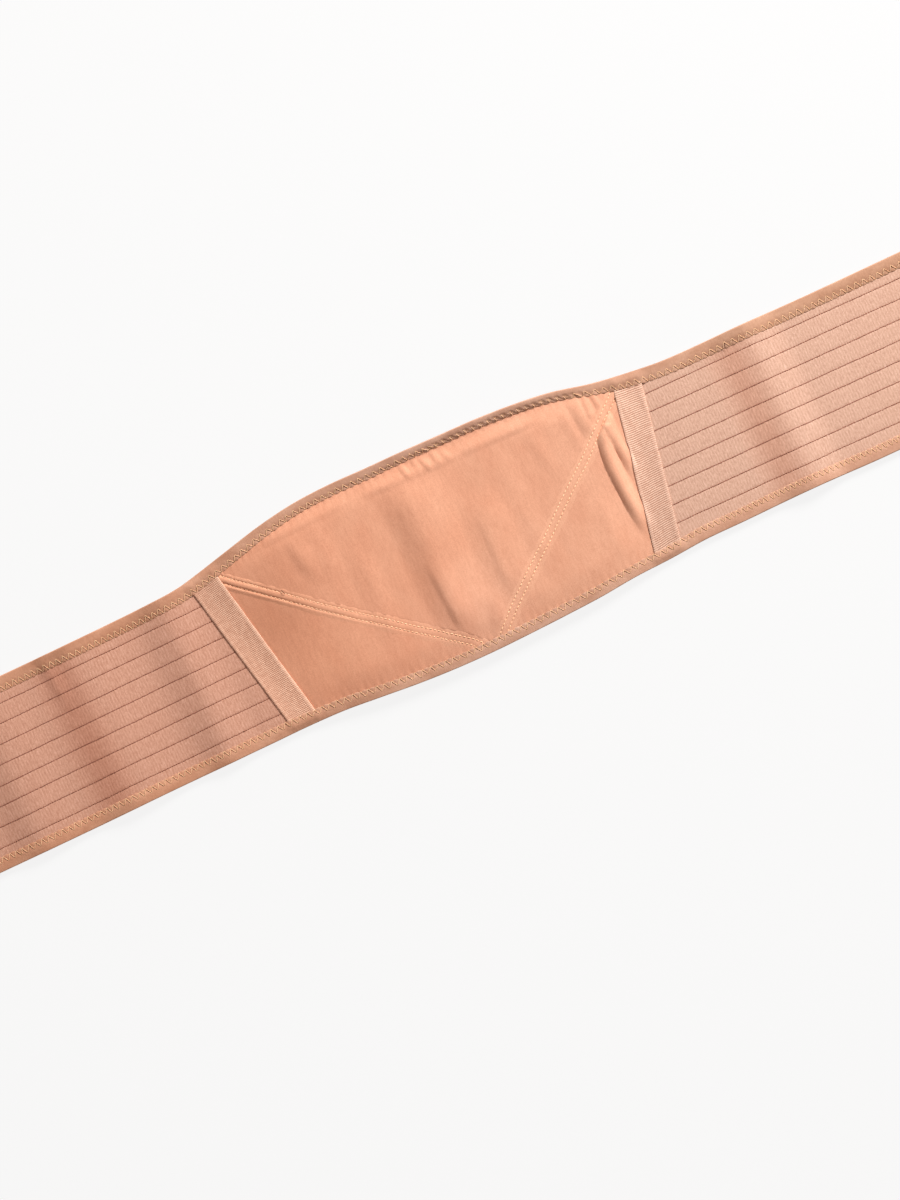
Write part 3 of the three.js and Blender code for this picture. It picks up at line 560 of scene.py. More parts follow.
def binding_elastic(name, base, dark, light):
    n = Nodes(name)
    grain = n.noise((900, 260, 260), detail=2.5, rough=0.6)
    twill = n.noise((1700, 700, 700), detail=1.5, rough=0.5, rotation=math.radians(32))
    mottle = n.noise((50, 110, 60), detail=3.0, rough=0.55)
    c = n.ramp(mottle, [(0.30, dark), (0.52, base), (0.76, light)])
    split = n.node("ShaderNodeSeparateXYZ")
    n.link(n.where.outputs["Object"], split.inputs[0])
    # painted light falloff: the bindings stay darker and more saturated at the left and turn paler and cooler from the
    # middle rightwards
    painted_falloff = n.math("MULTIPLY", n.math("ADD", split.outputs["X"], 0.23), 5.0)
    c = n.mix("MIX", n.ramp(painted_falloff, [(0.0, (0, 0, 0, 1)), (1.0, (1, 1, 1, 1))]), c, n.mix("MULTIPLY", 1.0, c, (0.965, 1.07, 1.18, 1)))
    # painted light round the middle of the bindings: paler and cooler near x = 30 mm, fading out over about 90 mm
    away = n.math("ABSOLUTE", n.math("ADD", split.outputs["X"], -0.03), 0.0)
    fade = n.ramp(n.math("MULTIPLY", away, 11.0), [(0.2, (0, 0, 0, 1)), (1.0, (1, 1, 1, 1))])
    c = n.mix("MIX", fade, n.mix("MULTIPLY", 1.0, c, (1.05, 1.10, 1.15, 1)), c)
    outer = n.math("MINIMUM", n.math("MULTIPLY", n.math("ADD", split.outputs["X"], -0.12), 6.0), n.math("MULTIPLY", split.outputs["Y"], 40.0))
    c = n.mix("MULTIPLY", 1.0, c, n.ramp(outer, [(0.0, (1, 1, 1, 1)), (1.0, (0.95, 0.945, 0.89, 1))]))
    c = n.mix("MULTIPLY", 0.5, c, n.ramp(grain, [(0.3, (0.84, 0.80, 0.77, 1)), (0.65, (1.0, 1.0, 1.0, 1))]))
    c = n.mix("MULTIPLY", 0.35, c, n.ramp(twill, [(0.3, (0.86, 0.82, 0.80, 1)), (0.6, (1.0, 1.0, 1.0, 1))]))
    normal = n.bump(twill, 0.35, 0.0002)
    normal = n.bump(grain, 0.3, 0.0003, normal)
    return n.finish(c, normal, 0.74, sheen=0.3, sheen_rough=0.35, tint=rgb(255, 226, 200), specular=0.3)


def thread(name, base, dark, rough=0.6, sheen=0.3, specular=0.35):
    n = Nodes(name)
    ply = n.noise((2600, 2600, 2600), detail=2.0, rough=0.5)
    c = n.ramp(ply, [(0.35, dark), (0.62, base)])
    return n.finish(c, n.bump(ply, 0.3, 0.0001), rough, sheen=sheen, sheen_rough=0.4, specular=specular)


M_PANEL = panel_knit("panel_knit", rgb(227, 166, 136), rgb(222, 159, 129), rgb(231, 172, 142))
M_SEAM = panel_knit("seam_knit", rgb(233, 173, 142), rgb(228, 166, 135), rgb(237, 179, 148))
# The two wings are one cloth in two copies: the left copy is painted darker and warmer as painted shade, the right copy
# paler as painted light; the last number is the x of each wing's painted shade band.
M_WING_L_PAINTED_SHADE = wing_elastic("wing_elastic_left_painted_shade", rgb(212, 159, 136), rgb(200, 146, 123), rgb(223, 171, 149), -0.284)
M_WING_R_PAINTED_LIGHT = wing_elastic("wing_elastic_right_painted_light", rgb(213, 171, 150), rgb(201, 158, 138), rgb(224, 182, 162), 0.238)
M_TAPE_L = joint_tape("joint_tape_left", rgb(158, 108, 85), rgb(227, 174, 147), rgb(252, 213, 187), math.radians(-11.2), 1.0, 0.86)
M_TAPE_R = joint_tape("joint_tape_right", rgb(158, 111, 91), rgb(212, 166, 143), rgb(239, 204, 183), math.radians(11.2), 0.90, 1.0)
M_BINDING = binding_elastic("binding_elastic", rgb(197, 144, 115), rgb(186, 132, 103), rgb(208, 157, 128))
M_ZIGZAG = thread("zigzag_thread", rgb(228, 186, 146), rgb(204, 160, 122))
M_STITCH = thread("top_stitch_thread", rgb(254, 210, 170), rgb(242, 188, 148))
M_PIN = thread("pin_thread", rgb(156, 100, 80), rgb(124, 74, 58), rough=0.85, sheen=0.1, specular=0.15)
M_BIT = thread("loose_thread", rgb(96, 56, 44), rgb(70, 38, 30), rough=0.8, sheen=0.0, specular=0.2)
M_HOOK = thread("hook_tape", rgb(206, 162, 134), rgb(178, 134, 108), rough=0.55, sheen=0.1, specular=0.4)


# ------------------------------------------------------------------ wings
def joint_x(side, y):
    (xb, yb), (xt, yt) = JOINTS[side]["bottom"], JOINTS[side]["top"]
    return xb + (xt - xb) * (y - yb) / (yt - yb)


def pin_height(side, k, x):
    p = PIN_LINES[side]
    d = np.clip(x - p["ref"], -p["reach"], p["reach"])
    wander = 0.22 * noise(x, np.full_like(x, 31.0 * k), 26.0, 10.0, 3) + 0.1 * noise(x, np.full_like(x, 17.0 * k), 9.0, 10.0, 4)
    return p["rows"][k] + p["drift"] * d + wander


WING_STEPS = (0.0, 0.035, 0.085, 0.18, 0.34, 0.5, 0.66, 0.82, 0.915, 0.965)


def wing(side):
    sign = -1.0 if side == "left" else 1.0
    ys, fr, band = [], [], []
    for k in range(9):
        for f in WING_STEPS:
            band.append(k)
            fr.append(f)
    band.append(8)
    fr.append(1.0)
    band, fr = np.array(band), np.array(fr)
    nj, ni = len(fr), 206
    # where each row ends, round the corner of the belt
    x_in = sign * (HALF - CORNER)
    anchors_end = np.array([bottom_edge(x_in) + EDGE] + [float(pin_height(side, k, np.array([x_in]))[0]) for k in range(8)] + [top_edge(x_in) - EDGE], dtype=float)
    y_end = anchors_end[band] * (1 - fr) + anchors_end[band + 1] * fr
    r = CORNER - EDGE
    dist = np.minimum(y_end - anchors_end[0], anchors_end[-1] - y_end)
    inset = np.where(dist < r, r - np.sqrt(np.clip(r * r - (r - dist) ** 2, 0, None)), 0.0)
    x_end = sign * (HALF - EDGE - inset)
    s = np.linspace(0, 1, ni)
    x = np.zeros((ni, nj))
    y = np.zeros((ni, nj))
    start = np.full(nj, sign * 153.0)
    for _ in range(5):
        x = start[None, :] * (1 - s)[:, None] + x_end[None, :] * s[:, None]
        lines = [bottom_edge(x) + EDGE] + [pin_height(side, k, x) for k in range(8)] + [top_edge(x) - EDGE]
        stack = np.stack(lines, 0)
        jj = np.arange(nj)
        lo = stack[band, :, jj].T
        hi = stack[band + 1, :, jj].T
        y = lo * (1 - fr) + hi * fr
        start = joint_x(side, y[0])
    gap_lo = np.where(band > 0, np.abs(y - lo), 9.0)
    gap_hi = np.where(band < 8, np.abs(hi - y), 9.0)
    near = np.minimum(gap_lo, gap_hi)
    crown = 0.05 * np.sin(math.pi * fr)[None, :] * (1 + 0.3 * noise(x, y, 30, 12, 5))
    groove = -0.16 * np.exp(-((near / 0.5) ** 2))
    under = np.minimum(y - (bottom_edge(x) + EDGE), (top_edge(x) - EDGE) - y)
    show = smooth((under - 6.0) / 4.0)
    high = WING_CLOTH + (crown + groove) * show - 0.12
    low = 0.0 + 0.05 * noise(x, y, 12, 12, 2)
    cloth = sheet_object(f"wing_{side}_cloth", x, y, low, high, M_WING_L_PAINTED_SHADE if side == "left" else M_WING_R_PAINTED_LIGHT)
    # the dark pin lines: short stitches lying in the grooves
    paths = []
    pitch, length = 1.80, 1.72
    (xb, yb), (xt, yt) = TAPES[side]["outer"]
    for k in range(8):
        y0 = PIN_LINES[side]["rows"][k]
        edge = xb + (xt - xb) * (y0 - yb) / (yt - yb)
        a, b = sorted((edge - sign * 0.6, sign * (HALF - 9.0)))
        mids = np.arange(a + 0.8, b, pitch)
        mids = mids + RNG.normal(0, 0.06, len(mids))
        half = 0.5 * length * (1 + RNG.normal(0, 0.08, len(mids)))
        px = mids[:, None] + half[:, None] * np.array([-1.0, -0.55, 0.55, 1.0])[None, :]
        py = pin_height(side, k, px) + RNG.normal(0, 0.05, (len(mids), 1))
        ph = WING_CLOTH - 0.26 + np.array([-0.06, 0.12, 0.12, -0.06])[None, :] + RNG.normal(0, 0.03, (len(mids), 1))
        paths.append(lifted(px, py, np.broadcast_to(ph, px.shape)))
    pins = tubes(f"pin_lines_{side}", np.concatenate(paths), 0.29, 4, M_PIN, taper=(0.6, 1, 1, 0.6))
    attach(cloth, "root")
    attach(pins, "root")
    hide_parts(f"wing_{side}")
    return cloth, pins


# ------------------------------------------------------------------ panels
def seam_y(side, x):
    return column(SEAMS[side], "y", x)


def center_panel():
    ni, nj = 262, 88
    x1 = np.linspace(-165.4, 164.9, ni)
    x = np.repeat(x1[:, None], nj, axis=1)
    lower = np.where(x1 < APEX, seam_y("left", x1), seam_y("right", x1)) + 0.1
    upper = top_edge(x1) - EDGE
    t = np.linspace(0, 1, nj)
    t = t + 0.035 * np.sin(2 * math.pi * t)  # a little coarser near both edges and finer in the middle
    y = lower[:, None] * (1 - t)[None, :] + np.maximum(upper, lower + 0.02)[:, None] * t[None, :]
    x[0], y[0] = x[0] + np.linspace(0, 0.02, nj), y[0]
    high = PANEL_CLOTH + panel_relief(x, y)
    y = np.clip(y, bottom_edge(x) + EDGE, top_edge(x) - EDGE)
    cloth = sheet_object("center_panel_cloth", x, y, 0.0, high, M_PANEL)
    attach(cloth, "root")
    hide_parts("center_panel")
    return cloth


def panel_relief(x, y):
    """Small gathers that run in from the bindings and the seams' stitches."""
    d_top = top_edge(x) - column(OUTLINE, "top_band", x) - y
    d_bot = y - bottom_edge(x) - column(OUTLINE, "bottom_band", x)
    gather = 0.16 * np.exp(-np.clip(d_top, 0, None) / 3.0) * np.sin(2 * math.pi * x / 5.7 + 2.0 * noise(x, y, 30, 60, 4))
    gather = gather + 0.13 * np.exp(-np.clip(d_bot, 0, None) / 3.0) * np.sin(2 * math.pi * x / 5.65 + 1.4 * noise(x, y, 30, 60, 5))
    for side in ("left", "right"):
        inside = (x < 20) if side == "left" else (x > -6)
        d = np.abs(y - seam_y(side, x)) * 0.76
        pucker = 0.10 * np.exp(-np.clip(d - 3.0, 0, None) / 2.2) * np.sin(2 * math.pi * x / 6.3 + 3.0 * noise(x, y, 18, 18, 3))
        gather = gather + np.where(inside & (d > 2.6), pucker, 0.0)
        gather = gather - np.where(inside, 0.75 * smooth((4.4 - d) / 1.6), 0.0)
    return gather + 0.05 * noise(x, y, 4.0, 9.0, 2)


def side_panel(side):
    ni, nj = 132, 78
    s = np.linspace(0, 1, ni)
    start = JOINTS[side]["bottom"][0]
    top_start = JOINTS[side]["top"][0]
    xb = start * (1 - s) + APEX * s
    xt = top_start * (1 - s) + APEX * s
    yb = bottom_edge(xb) + EDGE
    yt = np.maximum(seam_y(side, xt) - 0.1, yb + 0.02)
    t = np.linspace(0, 1, nj)
    t = t + 0.035 * np.sin(2 * math.pi * t)
    x = xb[:, None] * (1 - t)[None, :] + xt[:, None] * t[None, :]
    y = yb[:, None] * (1 - t)[None, :] + yt[:, None] * t[None, :]
    y = np.clip(y, bottom_edge(x) + EDGE, top_edge(x) - EDGE)
    high = PANEL_CLOTH + panel_relief(x, y)
    cloth = sheet_object(f"side_panel_{side}_cloth", x, y, 0.0, high, M_PANEL)
    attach(cloth, "root")
    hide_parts(f"side_panel_{side}")
    return cloth


# ------------------------------------------------------------------ seams
# height over the panel from c, across the seam: upper side positive
SEAM_PROFILE = [
    dict(c=-7.6, h=-0.30), dict(c=-6.8, h=-0.06), dict(c=-6.0, h=0.01), dict(c=-5.2, h=0.08), dict(c=-4.4, h=0.17),
    dict(c=-3.7, h=0.23), dict(c=-3.1, h=0.19), dict(c=-2.7, h=0.06), dict(c=-2.35, h=-0.10), dict(c=-2.0, h=-0.02),
    dict(c=-1.6, h=0.12), dict(c=-1.1, h=0.23), dict(c=-0.5, h=0.30), dict(c=0.2, h=0.32), dict(c=0.9, h=0.29),
    dict(c=1.5, h=0.20), dict(c=1.95, h=0.08), dict(c=2.3, h=-0.07), dict(c=2.7, h=0.01), dict(c=3.1, h=0.08),
    dict(c=3.7, h=0.09), dict(c=4.4, h=0.05), dict(c=5.2, h=-0.02), dict(c=5.8, h=-0.25),
]


def seam_frame(side, step):
    """Even places along the seam's centre line, and the way across it, to the upper side."""
    x = np.linspace(-156.0, -3.5, 2000) if side == "left" else np.linspace(8.5, 155.5, 2000)
    y = seam_y(side, x)
    arc = np.concatenate([[0], np.cumsum(np.hypot(np.diff(x), np.diff(y)))])
    s = np.arange(0, arc[-1], step)
    px, py = np.interp(s, arc, x), np.interp(s, arc, y)
    tx, ty = np.gradient(px), np.gradient(py)
    ln = np.hypot(tx, ty)
    return s, px, py, -ty / ln, tx / ln


def seam_height(side, s, c, x):
    cs = np.array([p["c"] for p in SEAM_PROFILE])
    hs = np.array([p["h"] for p in SEAM_PROFILE])
    h = np.interp(c, cs, hs)
    if side == "left":
        stand = 0.40 + 0.55 * smooth((-x - 25.0) / 85.0) + 0.75 * smooth((-x - 95.0) / 45.0)
    else:
        stand = 1.05 + 0.15 * smooth((60.0 - x) / 40.0) + 0.3 * smooth((x - 122.0) / 16.0)
    row = np.exp(-((np.abs(c) - 2.3) / 0.55) ** 2)
    pulled = row * (0.5 + 0.5 * np.cos(2 * math.pi * s / STITCH_PITCH))
    ripple = 1.0 + 0.10 * noise(s, c * 3, 7.0, 9.0, 1)
    lower = 1.0 + 0.25 * smooth(-c / 3.0) * (1.0 if side == "left" else -0.6)
    gap = 0.0
    if side == "right":
        gap = 0.70 * np.exp(-(((c + 3.0) / 0.7) ** 2)) * smooth((x - 124.0) / 10.0)
    return np.where(h > 0, h * lower, h) * stand * ripple - 0.07 * pulled * (0.5 * stand + 0.5) - gap


def felled_seam(side):
    s, px, py, nx, ny = seam_frame(side, 0.6)
    c = np.array([p["c"] for p in SEAM_PROFILE])
    x = px[:, None] + nx[:, None] * c[None, :]
    y = py[:, None] + ny[:, None] * c[None, :]
    ss, cc = np.broadcast_arrays(s[:, None], c[None, :])
    wob = 0.16 * noise(ss, cc * 0, 11.0, 10.0, 2) + 0.08 * noise(ss, cc * 0 + 9, 4.5, 10.0, 3)
    x, y = x + nx[:, None] * wob, y + ny[:, None] * wob
    high = PANEL_CLOTH + seam_height(side, ss, cc, x)
    low = PANEL_CLOTH - 0.95 - 0.1 * np.cos(c / 3.0)[None, :] + 0.0 * x
    y = np.clip(y, bottom_edge(x) + EDGE + 0.3, top_edge(x) - EDGE - 0.3)
    cloth = sheet_object(f"seam_{side}_fell", x, y, low, high, M_SEAM)
    # two rows of top stitching
    paths = []
    for row in (-ROW_OFFSET, ROW_OFFSET):
        mids = np.arange(4.5, s[-1] - 3.0, STITCH_PITCH)
        mids = mids + RNG.normal(0, 0.12, len(mids))
        local = np.array([-1.25, -0.75, 0.0, 0.75, 1.25])
        q = mids[:, None] + local[None, :]
        bx, by = np.interp(q, s, px), np.interp(q, s, py)
        ax, ay = np.interp(q, s, nx), np.interp(q, s, ny)
        cr = row + RNG.normal(0, 0.07, (len(mids), 1)) + 0.16 * noise(q, q * 0, 11.0, 10.0, 2) + 0.08 * noise(q, q * 0 + 9, 4.5, 10.0, 3)
        mid_h = seam_height(side, mids[:, None] + STITCH_PITCH / 2, np.full((len(mids), 1), row), np.interp(mids, s, px)[:, None])
        h = PANEL_CLOTH + mid_h + np.array([-0.22, 0.08, 0.17, 0.08, -0.22])[None, :]
        paths.append(lifted(bx + ax * cr, by + ay * cr, h))
    stitches = tubes(f"top_stitches_{side}", np.concatenate(paths), 0.27, 6, M_STITCH, taper=(0.6, 1, 1.1, 1, 0.6))
    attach(cloth, "root")
    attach(stitches, "root")
    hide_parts(f"seam_{side}")
    return cloth, stitches


# ------------------------------------------------------------------ tapes
def tape(side):
    pitch_l, pitch_w = (1.28, 1.18) if side == "left" else (1.50, 1.16)
    inner, outer = TAPES[side]["inner"], TAPES[side]["outer"]
    length = math.hypot(inner[1][0] - inner[0][0], inner[1][1] - inner[0][1])
    ext = 6.5
    nl, nw = int((length + 2 * ext) / 0.28), 64
    t = np.linspace(-ext / length, 1 + ext / length, nl)[:, None]
    w = np.linspace(0, 1, nw)[None, :]
    def lerp(a, b, f):
        return a + (b - a) * f
    l_mm = t * length
    a_edge = 0.14 * noise(l_mm, l_mm * 0, 9.0, 9.0, 1) + 0.06 * np.sin(2 * math.pi * l_mm / pitch_l)
    b_edge = 0.14 * noise(l_mm, l_mm * 0 + 40, 9.0, 9.0, 2) + 0.06 * np.sin(2 * math.pi * l_mm / pitch_l + 1.0)
    ax, ay = lerp(inner[0][0], inner[1][0], t) + a_edge, lerp(inner[0][1], inner[1][1], t)
    bx, by = lerp(outer[0][0], outer[1][0], t) + b_edge, lerp(outer[0][1], outer[1][1], t)
    x, y = ax + (bx - ax) * w, ay + (by - ay) * w
    w_mm = w * TAPE_WIDTH
    l_all, w_all = np.broadcast_arrays(l_mm + 0.25 * noise(l_mm, w_mm, 40, 6, 3), w_mm)
    rows = 0.5 + 0.5 * np.cos(2 * math.pi * l_all / pitch_l)
    cols = 0.5 + 0.5 * np.cos(2 * math.pi * w_all / pitch_w + 0.5 * noise(l_all, w_all, 12, 12, 4))
    edge = np.minimum(w_all, TAPE_WIDTH - w_all)
    selvedge = smooth((2.6 - edge) / 1.0)
    mesh = 0.65 if side == "left" else 0.40
    knots = (rows ** 0.8) * (1 - mesh + mesh * cols ** 0.8)
    bars = 0.25 + 0.55 * rows ** 0.9
    level = knots * (1 - selvedge) + bars * selvedge
    if side == "left":  # the outer part of this tape is woven closer and looks plainer
        plain = 0.42 * smooth((w_all - 10.5) / 2.5)
        level = level * (1 - plain) + (0.26 + 0.16 * cols) * plain
    level = level * (1 + 0.24 * noise(l_all, w_all, 1.3, 1.9, 5)) + 0.05
    rounded = 1.0 - 0.55 * np.exp(-edge / 0.5)
    lift = np.where(w_all > TAPE_WIDTH / 2, 0.16, 0.06) * np.exp(-((edge / 3.0) ** 2))
    thick = 0.72
    base = WING_CLOTH + 0.06
    ripple = 0.08 * noise(l_all, w_all, 14.0, 10.0, 0)
    high = base + lift + ripple + thick * rounded + (0.24 if side == "left" else 0.19) * (level - 0.5)
    low = base + lift + ripple - 0.05
    ends = smooth((np.minimum(l_all + ext, length + ext - l_all)) / 5.0)
    high = low + (high - low) * (0.5 + 0.5 * ends)
    cloth = sheet_object(f"tape_{side}_woven", x, y, low, high, M_TAPE_L if side == "left" else M_TAPE_R, level=np.clip(level, 0, 1))
    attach(cloth, "root")
    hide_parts(f"tape_{side}")
    return cloth


# ------------------------------------------------------------------ bindings
def tape_bump(x, is_top):
    """How far the binding's upper leg rises where a tape runs under it."""
    key = 1 if is_top else 0
    total = 0.0
    for side in ("left", "right"):
        a, b = TAPES[side]["inner"][key][0], TAPES[side]["outer"][key][0]
        lo, hi = min(a, b) - (2.0 if is_top else -1.0) * (1 if side == "left" else -1), max(a, b) - (2.0 if is_top else -1.0) * (1 if side == "left" else -1)
        total = total + smooth((x - lo + 4.5) / 6.5) * smooth((hi + 4.5 - x) / 6.5)
    return 0.85 * total


def cloth_under(x):
    return PANEL_CLOTH + (WING_CLOTH - 0.10 - PANEL_CLOTH) * smooth((np.abs(x) - 150.0) / 10.0)


def zigzag_phase(x, key):
    """Number of zigzag stitches from the left end to x."""
    grid = np.linspace(-HALF, HALF, 2081)
    p = column(ZIGZAG, key, grid)
    count = np.concatenate([[0], np.cumsum(0.5 * (1 / p[1:] + 1 / p[:-1]) * np.diff(grid))])
    return np.interp(x, grid, count)


def roll_share(x):
    """Where the top edge is rolled over: 0 to 1."""
    return smooth((x - 0.0) / 32.0) * smooth((148.0 - x) / 28.0)


# height of the binding's upper leg over the cloth: f runs from the outline, 0,
# to the inner edge, 1; flat is the plain stretch and rolled the curled one
LEG = [
    dict(x=0.0, flat=-0.80, rolled=-0.80), dict(x=0.004, flat=-0.20, rolled=-0.20), dict(x=0.011, flat=0.32, rolled=0.38),
    dict(x=0.022, flat=0.66, rolled=0.76), dict(x=0.038, flat=0.84, rolled=0.98), dict(x=0.065, flat=0.92, rolled=1.09), dict(x=0.12, flat=0.95, rolled=1.14),
    dict(x=0.22, flat=0.96, rolled=1.16), dict(x=0.34, flat=0.96, rolled=1.16), dict(x=0.44, flat=0.92, rolled=1.04),
    dict(x=0.54, flat=0.84, rolled=0.86), dict(x=0.63, flat=0.74, rolled=0.80), dict(x=0.72, flat=0.62, rolled=0.76),
    dict(x=0.82, flat=0.46, rolled=0.64), dict(x=0.90, flat=0.32, rolled=0.46), dict(x=0.96, flat=0.20, rolled=0.30),
    dict(x=0.99, flat=0.12, rolled=0.16), dict(x=1.0, flat=0.02, rolled=0.02),
]
LEG_F = np.array([r["x"] for r in LEG])


def leg_height(f, phase, share, key):
    """Top of the upper leg over the cloth, with the pillows between the stitches."""
    flat = np.interp(f, LEG_F, [r["flat"] for r in LEG])
    rolled = np.interp(f, LEG_F, [r["rolled"] for r in LEG])
    h = flat * (1 - share) + rolled * share
    window = smooth((f - 0.42) / 0.12) * smooth((1.02 - f) / 0.10)
    lean = 1.3 * share * (f - 0.45) / 0.55
    zig = np.abs((phase % 1.0) * 2.0 - 1.0)  # 1 at the inner needle point, 0 at the outer
    along = (1.0 - f) / 0.46
    off = np.abs((1.0 - zig) - np.clip(along, 0, 1))
    pillow = smooth(off / 0.5)
    braid = np.cos(2 * math.pi * (phase - lean))
    return h + window * ((0.26 - 0.18 * share) * (pillow - 0.60) + 0.32 * share * (braid - 0.4))


def binding(name, px, py, nx, ny, band, phase, share, bump, cloth, ends_closed=True):
    """Sweep of the folded binding. All arguments are arrays along the edge."""
    ni = len(px)
    notch = np.cos(2 * math.pi * phase) * 0.5 + 0.5
    inner = band + 0.34 - 0.80 * notch ** 2 + 0.12 * noise(px, py, 13.0, 13.0, 3)
    top_f = LEG_F[::-1]
    low_f = np.array([0.02, 0.06, 0.14, 0.30, 0.60, 0.90, 0.985, 1.0])
    low_h = np.array([-0.35, -0.78, -1.04, -1.10, -1.10, -1.08, -0.75, -0.25])
    cols_d, cols_h = [], []
    for f in top_f:
        cols_d.append(inner * f)
        h = leg_height(np.full(ni, f), phase, share, name) + cloth
        h = h + bump * smooth(f / 0.45)
        h = h + 0.10 * (1 - notch) * smooth((f - 0.7) / 0.2) * (h > cloth + 0.05)
        h = np.where(f == 0.0, cloth * 0.5, h)
        cols_h.append(h + (0.05 * noise(px * 1.0, py + 50 * f, 6.0, 30.0, 1) if f > 0.05 else 0.0))
    for f, h in zip(low_f, low_h):
        cols_d.append(inner * f)
        cols_h.append(np.full(ni, h))
    for f, h in ((1.0, -0.08), (0.13, -0.08)):
        cols_d.append(inner * f)
        cols_h.append(np.full(ni, h))
    for f in (0.13, 1.0):
        cols_d.append(inner * f)
        cols_h.append(cloth + 0.06 + bump * smooth(f / 0.45))
    d = np.stack(cols_d, 1)
    h = np.stack(cols_h, 1)
    x = px[:, None] + nx[:, None] * d
    y = py[:, None] + ny[:, None] * d
    verts = lifted(x, y, h)
    m = verts.shape[1]
    idx = np.arange(ni * m).reshape(ni, m)
    a, b = idx[:-1], idx[1:]
    a2, b2 = np.roll(a, -1, axis=1), np.roll(b, -1, axis=1)
    quads = np.stack([a, a2, b2, b], -1).reshape(-1, 4)
    # caps: the section is a C, closed leg by leg
    nt, nl = len(top_f), len(low_f)
    caps = []
    for row, flip in ((idx[0], False), (idx[-1], True)):
        top_leg = [row[k] for k in range(nt)]
        low_leg = [row[nt + k] for k in range(nl)]
        inner_low = [row[nt + nl], row[nt + nl + 1]]
        inner_top = [row[nt + nl + 2], row[nt + nl + 3]]
        poly = top_leg + low_leg + inner_low + inner_top
        caps.append(poly[::-1] if flip else poly)
    v = verts.reshape(-1, 3)
    q = quads[len(quads) // 2]
    centre = verts[ni // 2].mean(axis=0)
    obj = new_object(name, v, [quads, np.array(caps)], M_BINDING, crease=60)
    return obj


def edge_places(x, is_top):
    edge = top_edge if is_top else bottom_edge
    m = edge(x + 0.5) - edge(x - 0.5)
    ln = np.sqrt(1 + m * m)
    nx, ny = (m / ln, -1 / ln) if is_top else (-m / ln, 1 / ln)
    return x, edge(x), nx, ny, column(OUTLINE, "top_band" if is_top else "bottom_band", x)


def end_places(sign, step):
    """Round one end of the belt, from the top edge to the bottom edge."""
    x0 = sign * (HALF - CORNER)
    yt, yb = float(top_edge(x0)), float(bottom_edge(x0))
    quarter = CORNER * math.pi / 2
    straight = (yt - CORNER) - (yb + CORNER)
    s = np.linspace(0, 2 * quarter + straight, int((2 * quarter + straight) / step))
    a1 = np.clip(s / quarter, 0, 1) * math.pi / 2
    a2 = np.clip((s - quarter - straight) / quarter, 0, 1) * math.pi / 2
    ang = a1 + a2  # 0 is up, pi is down
    ox, oy = sign * np.sin(ang), np.cos(ang)
    mid = np.clip(s - quarter, 0, straight)
    cy = np.where(s < quarter, yt - CORNER, (yt - CORNER) - mid)
    px, py = x0 + ox * CORNER, cy + oy * CORNER
    tb, bb = float(column(OUTLINE, "top_band", x0)), float(column(OUTLINE, "bottom_band", x0))
    k = ang / math.pi
    band = tb * (1 - smooth(k * 2)) + END_BAND * (smooth(k * 2) - smooth(k * 2 - 1)) + bb * smooth(k * 2 - 1)
    return s, px, py, -ox, -oy, band


def zigzag(name, places, phase_of, share_of, bump_of, cloth_of, under):
    """Zigzag thread along an edge. places(s) gives the outline; under puts it on the lower face."""
    legs, (s0, s1), inverse = places["legs"], places["span"], places["inverse"]
    first, last = math.ceil(phase_of(s0) + 0.2), math.floor(phase_of(s1) - 0.2)
    knots = np.arange(first, last, 0.5)
    fr = np.array([0.0, 0.1, 0.3, 0.5, 0.7, 0.9, 1.0])
    ph = knots[:, None] + 0.5 * fr[None, :]
    jitter = RNG.normal(0, 0.03, len(knots) + 1)
    jitter2 = RNG.normal(0, 0.16, len(knots) + 1)
    is_inner = np.isclose(knots % 1.0, 0.0)
    start = np.where(is_inner, 0.0, 1.0)
    along = start[:, None] * (1 - fr) + (1 - start)[:, None] * fr  # 0 inner, 1 outer
    straight = inverse(ph + jitter[:-1, None] * (1 - fr) + jitter[1:, None] * fr)
    share = share_of(straight)
    s = np.clip(inverse(ph + jitter[:-1, None] * (1 - fr) + jitter[1:, None] * fr - 0.9 * share * along), s0, s1)
    px, py, nx, ny, band = legs(s)
    ph = phase_of(s)
    reach = 4.5 * (1 - 0.25 * share)
    d_in = band + 0.10
    slack = jitter2[:-1, None] * (1 - fr) + jitter2[1:, None] * fr
    d = d_in - reach * along + slack
    f = np.clip(d / band, 0, 1)
    dips = np.array([-0.34, 0.04, 0.12, 0.14, 0.12, 0.04, -0.34])[None, :]
    if under:
        h = np.full(s.shape, -1.02) - dips * 0.5
    else:
        lip = smooth((band + 0.05 - d) / 0.5)
        h = cloth_of(s) + bump_of(s) * smooth(f / 0.45) + leg_height(f, ph, share, "") * lip + 0.10 + dips - 0.22 * share
    pts = lifted(px + nx * d, py + ny * d, h)
    if under:
        return tubes(name, pts[:, ::2], 0.26, 4, M_ZIGZAG, taper=(0.7, 1, 1, 0.7))
    return tubes(name, pts, 0.26, 5, M_ZIGZAG, taper=(0.7, 1, 1, 1, 1, 1, 0.7))


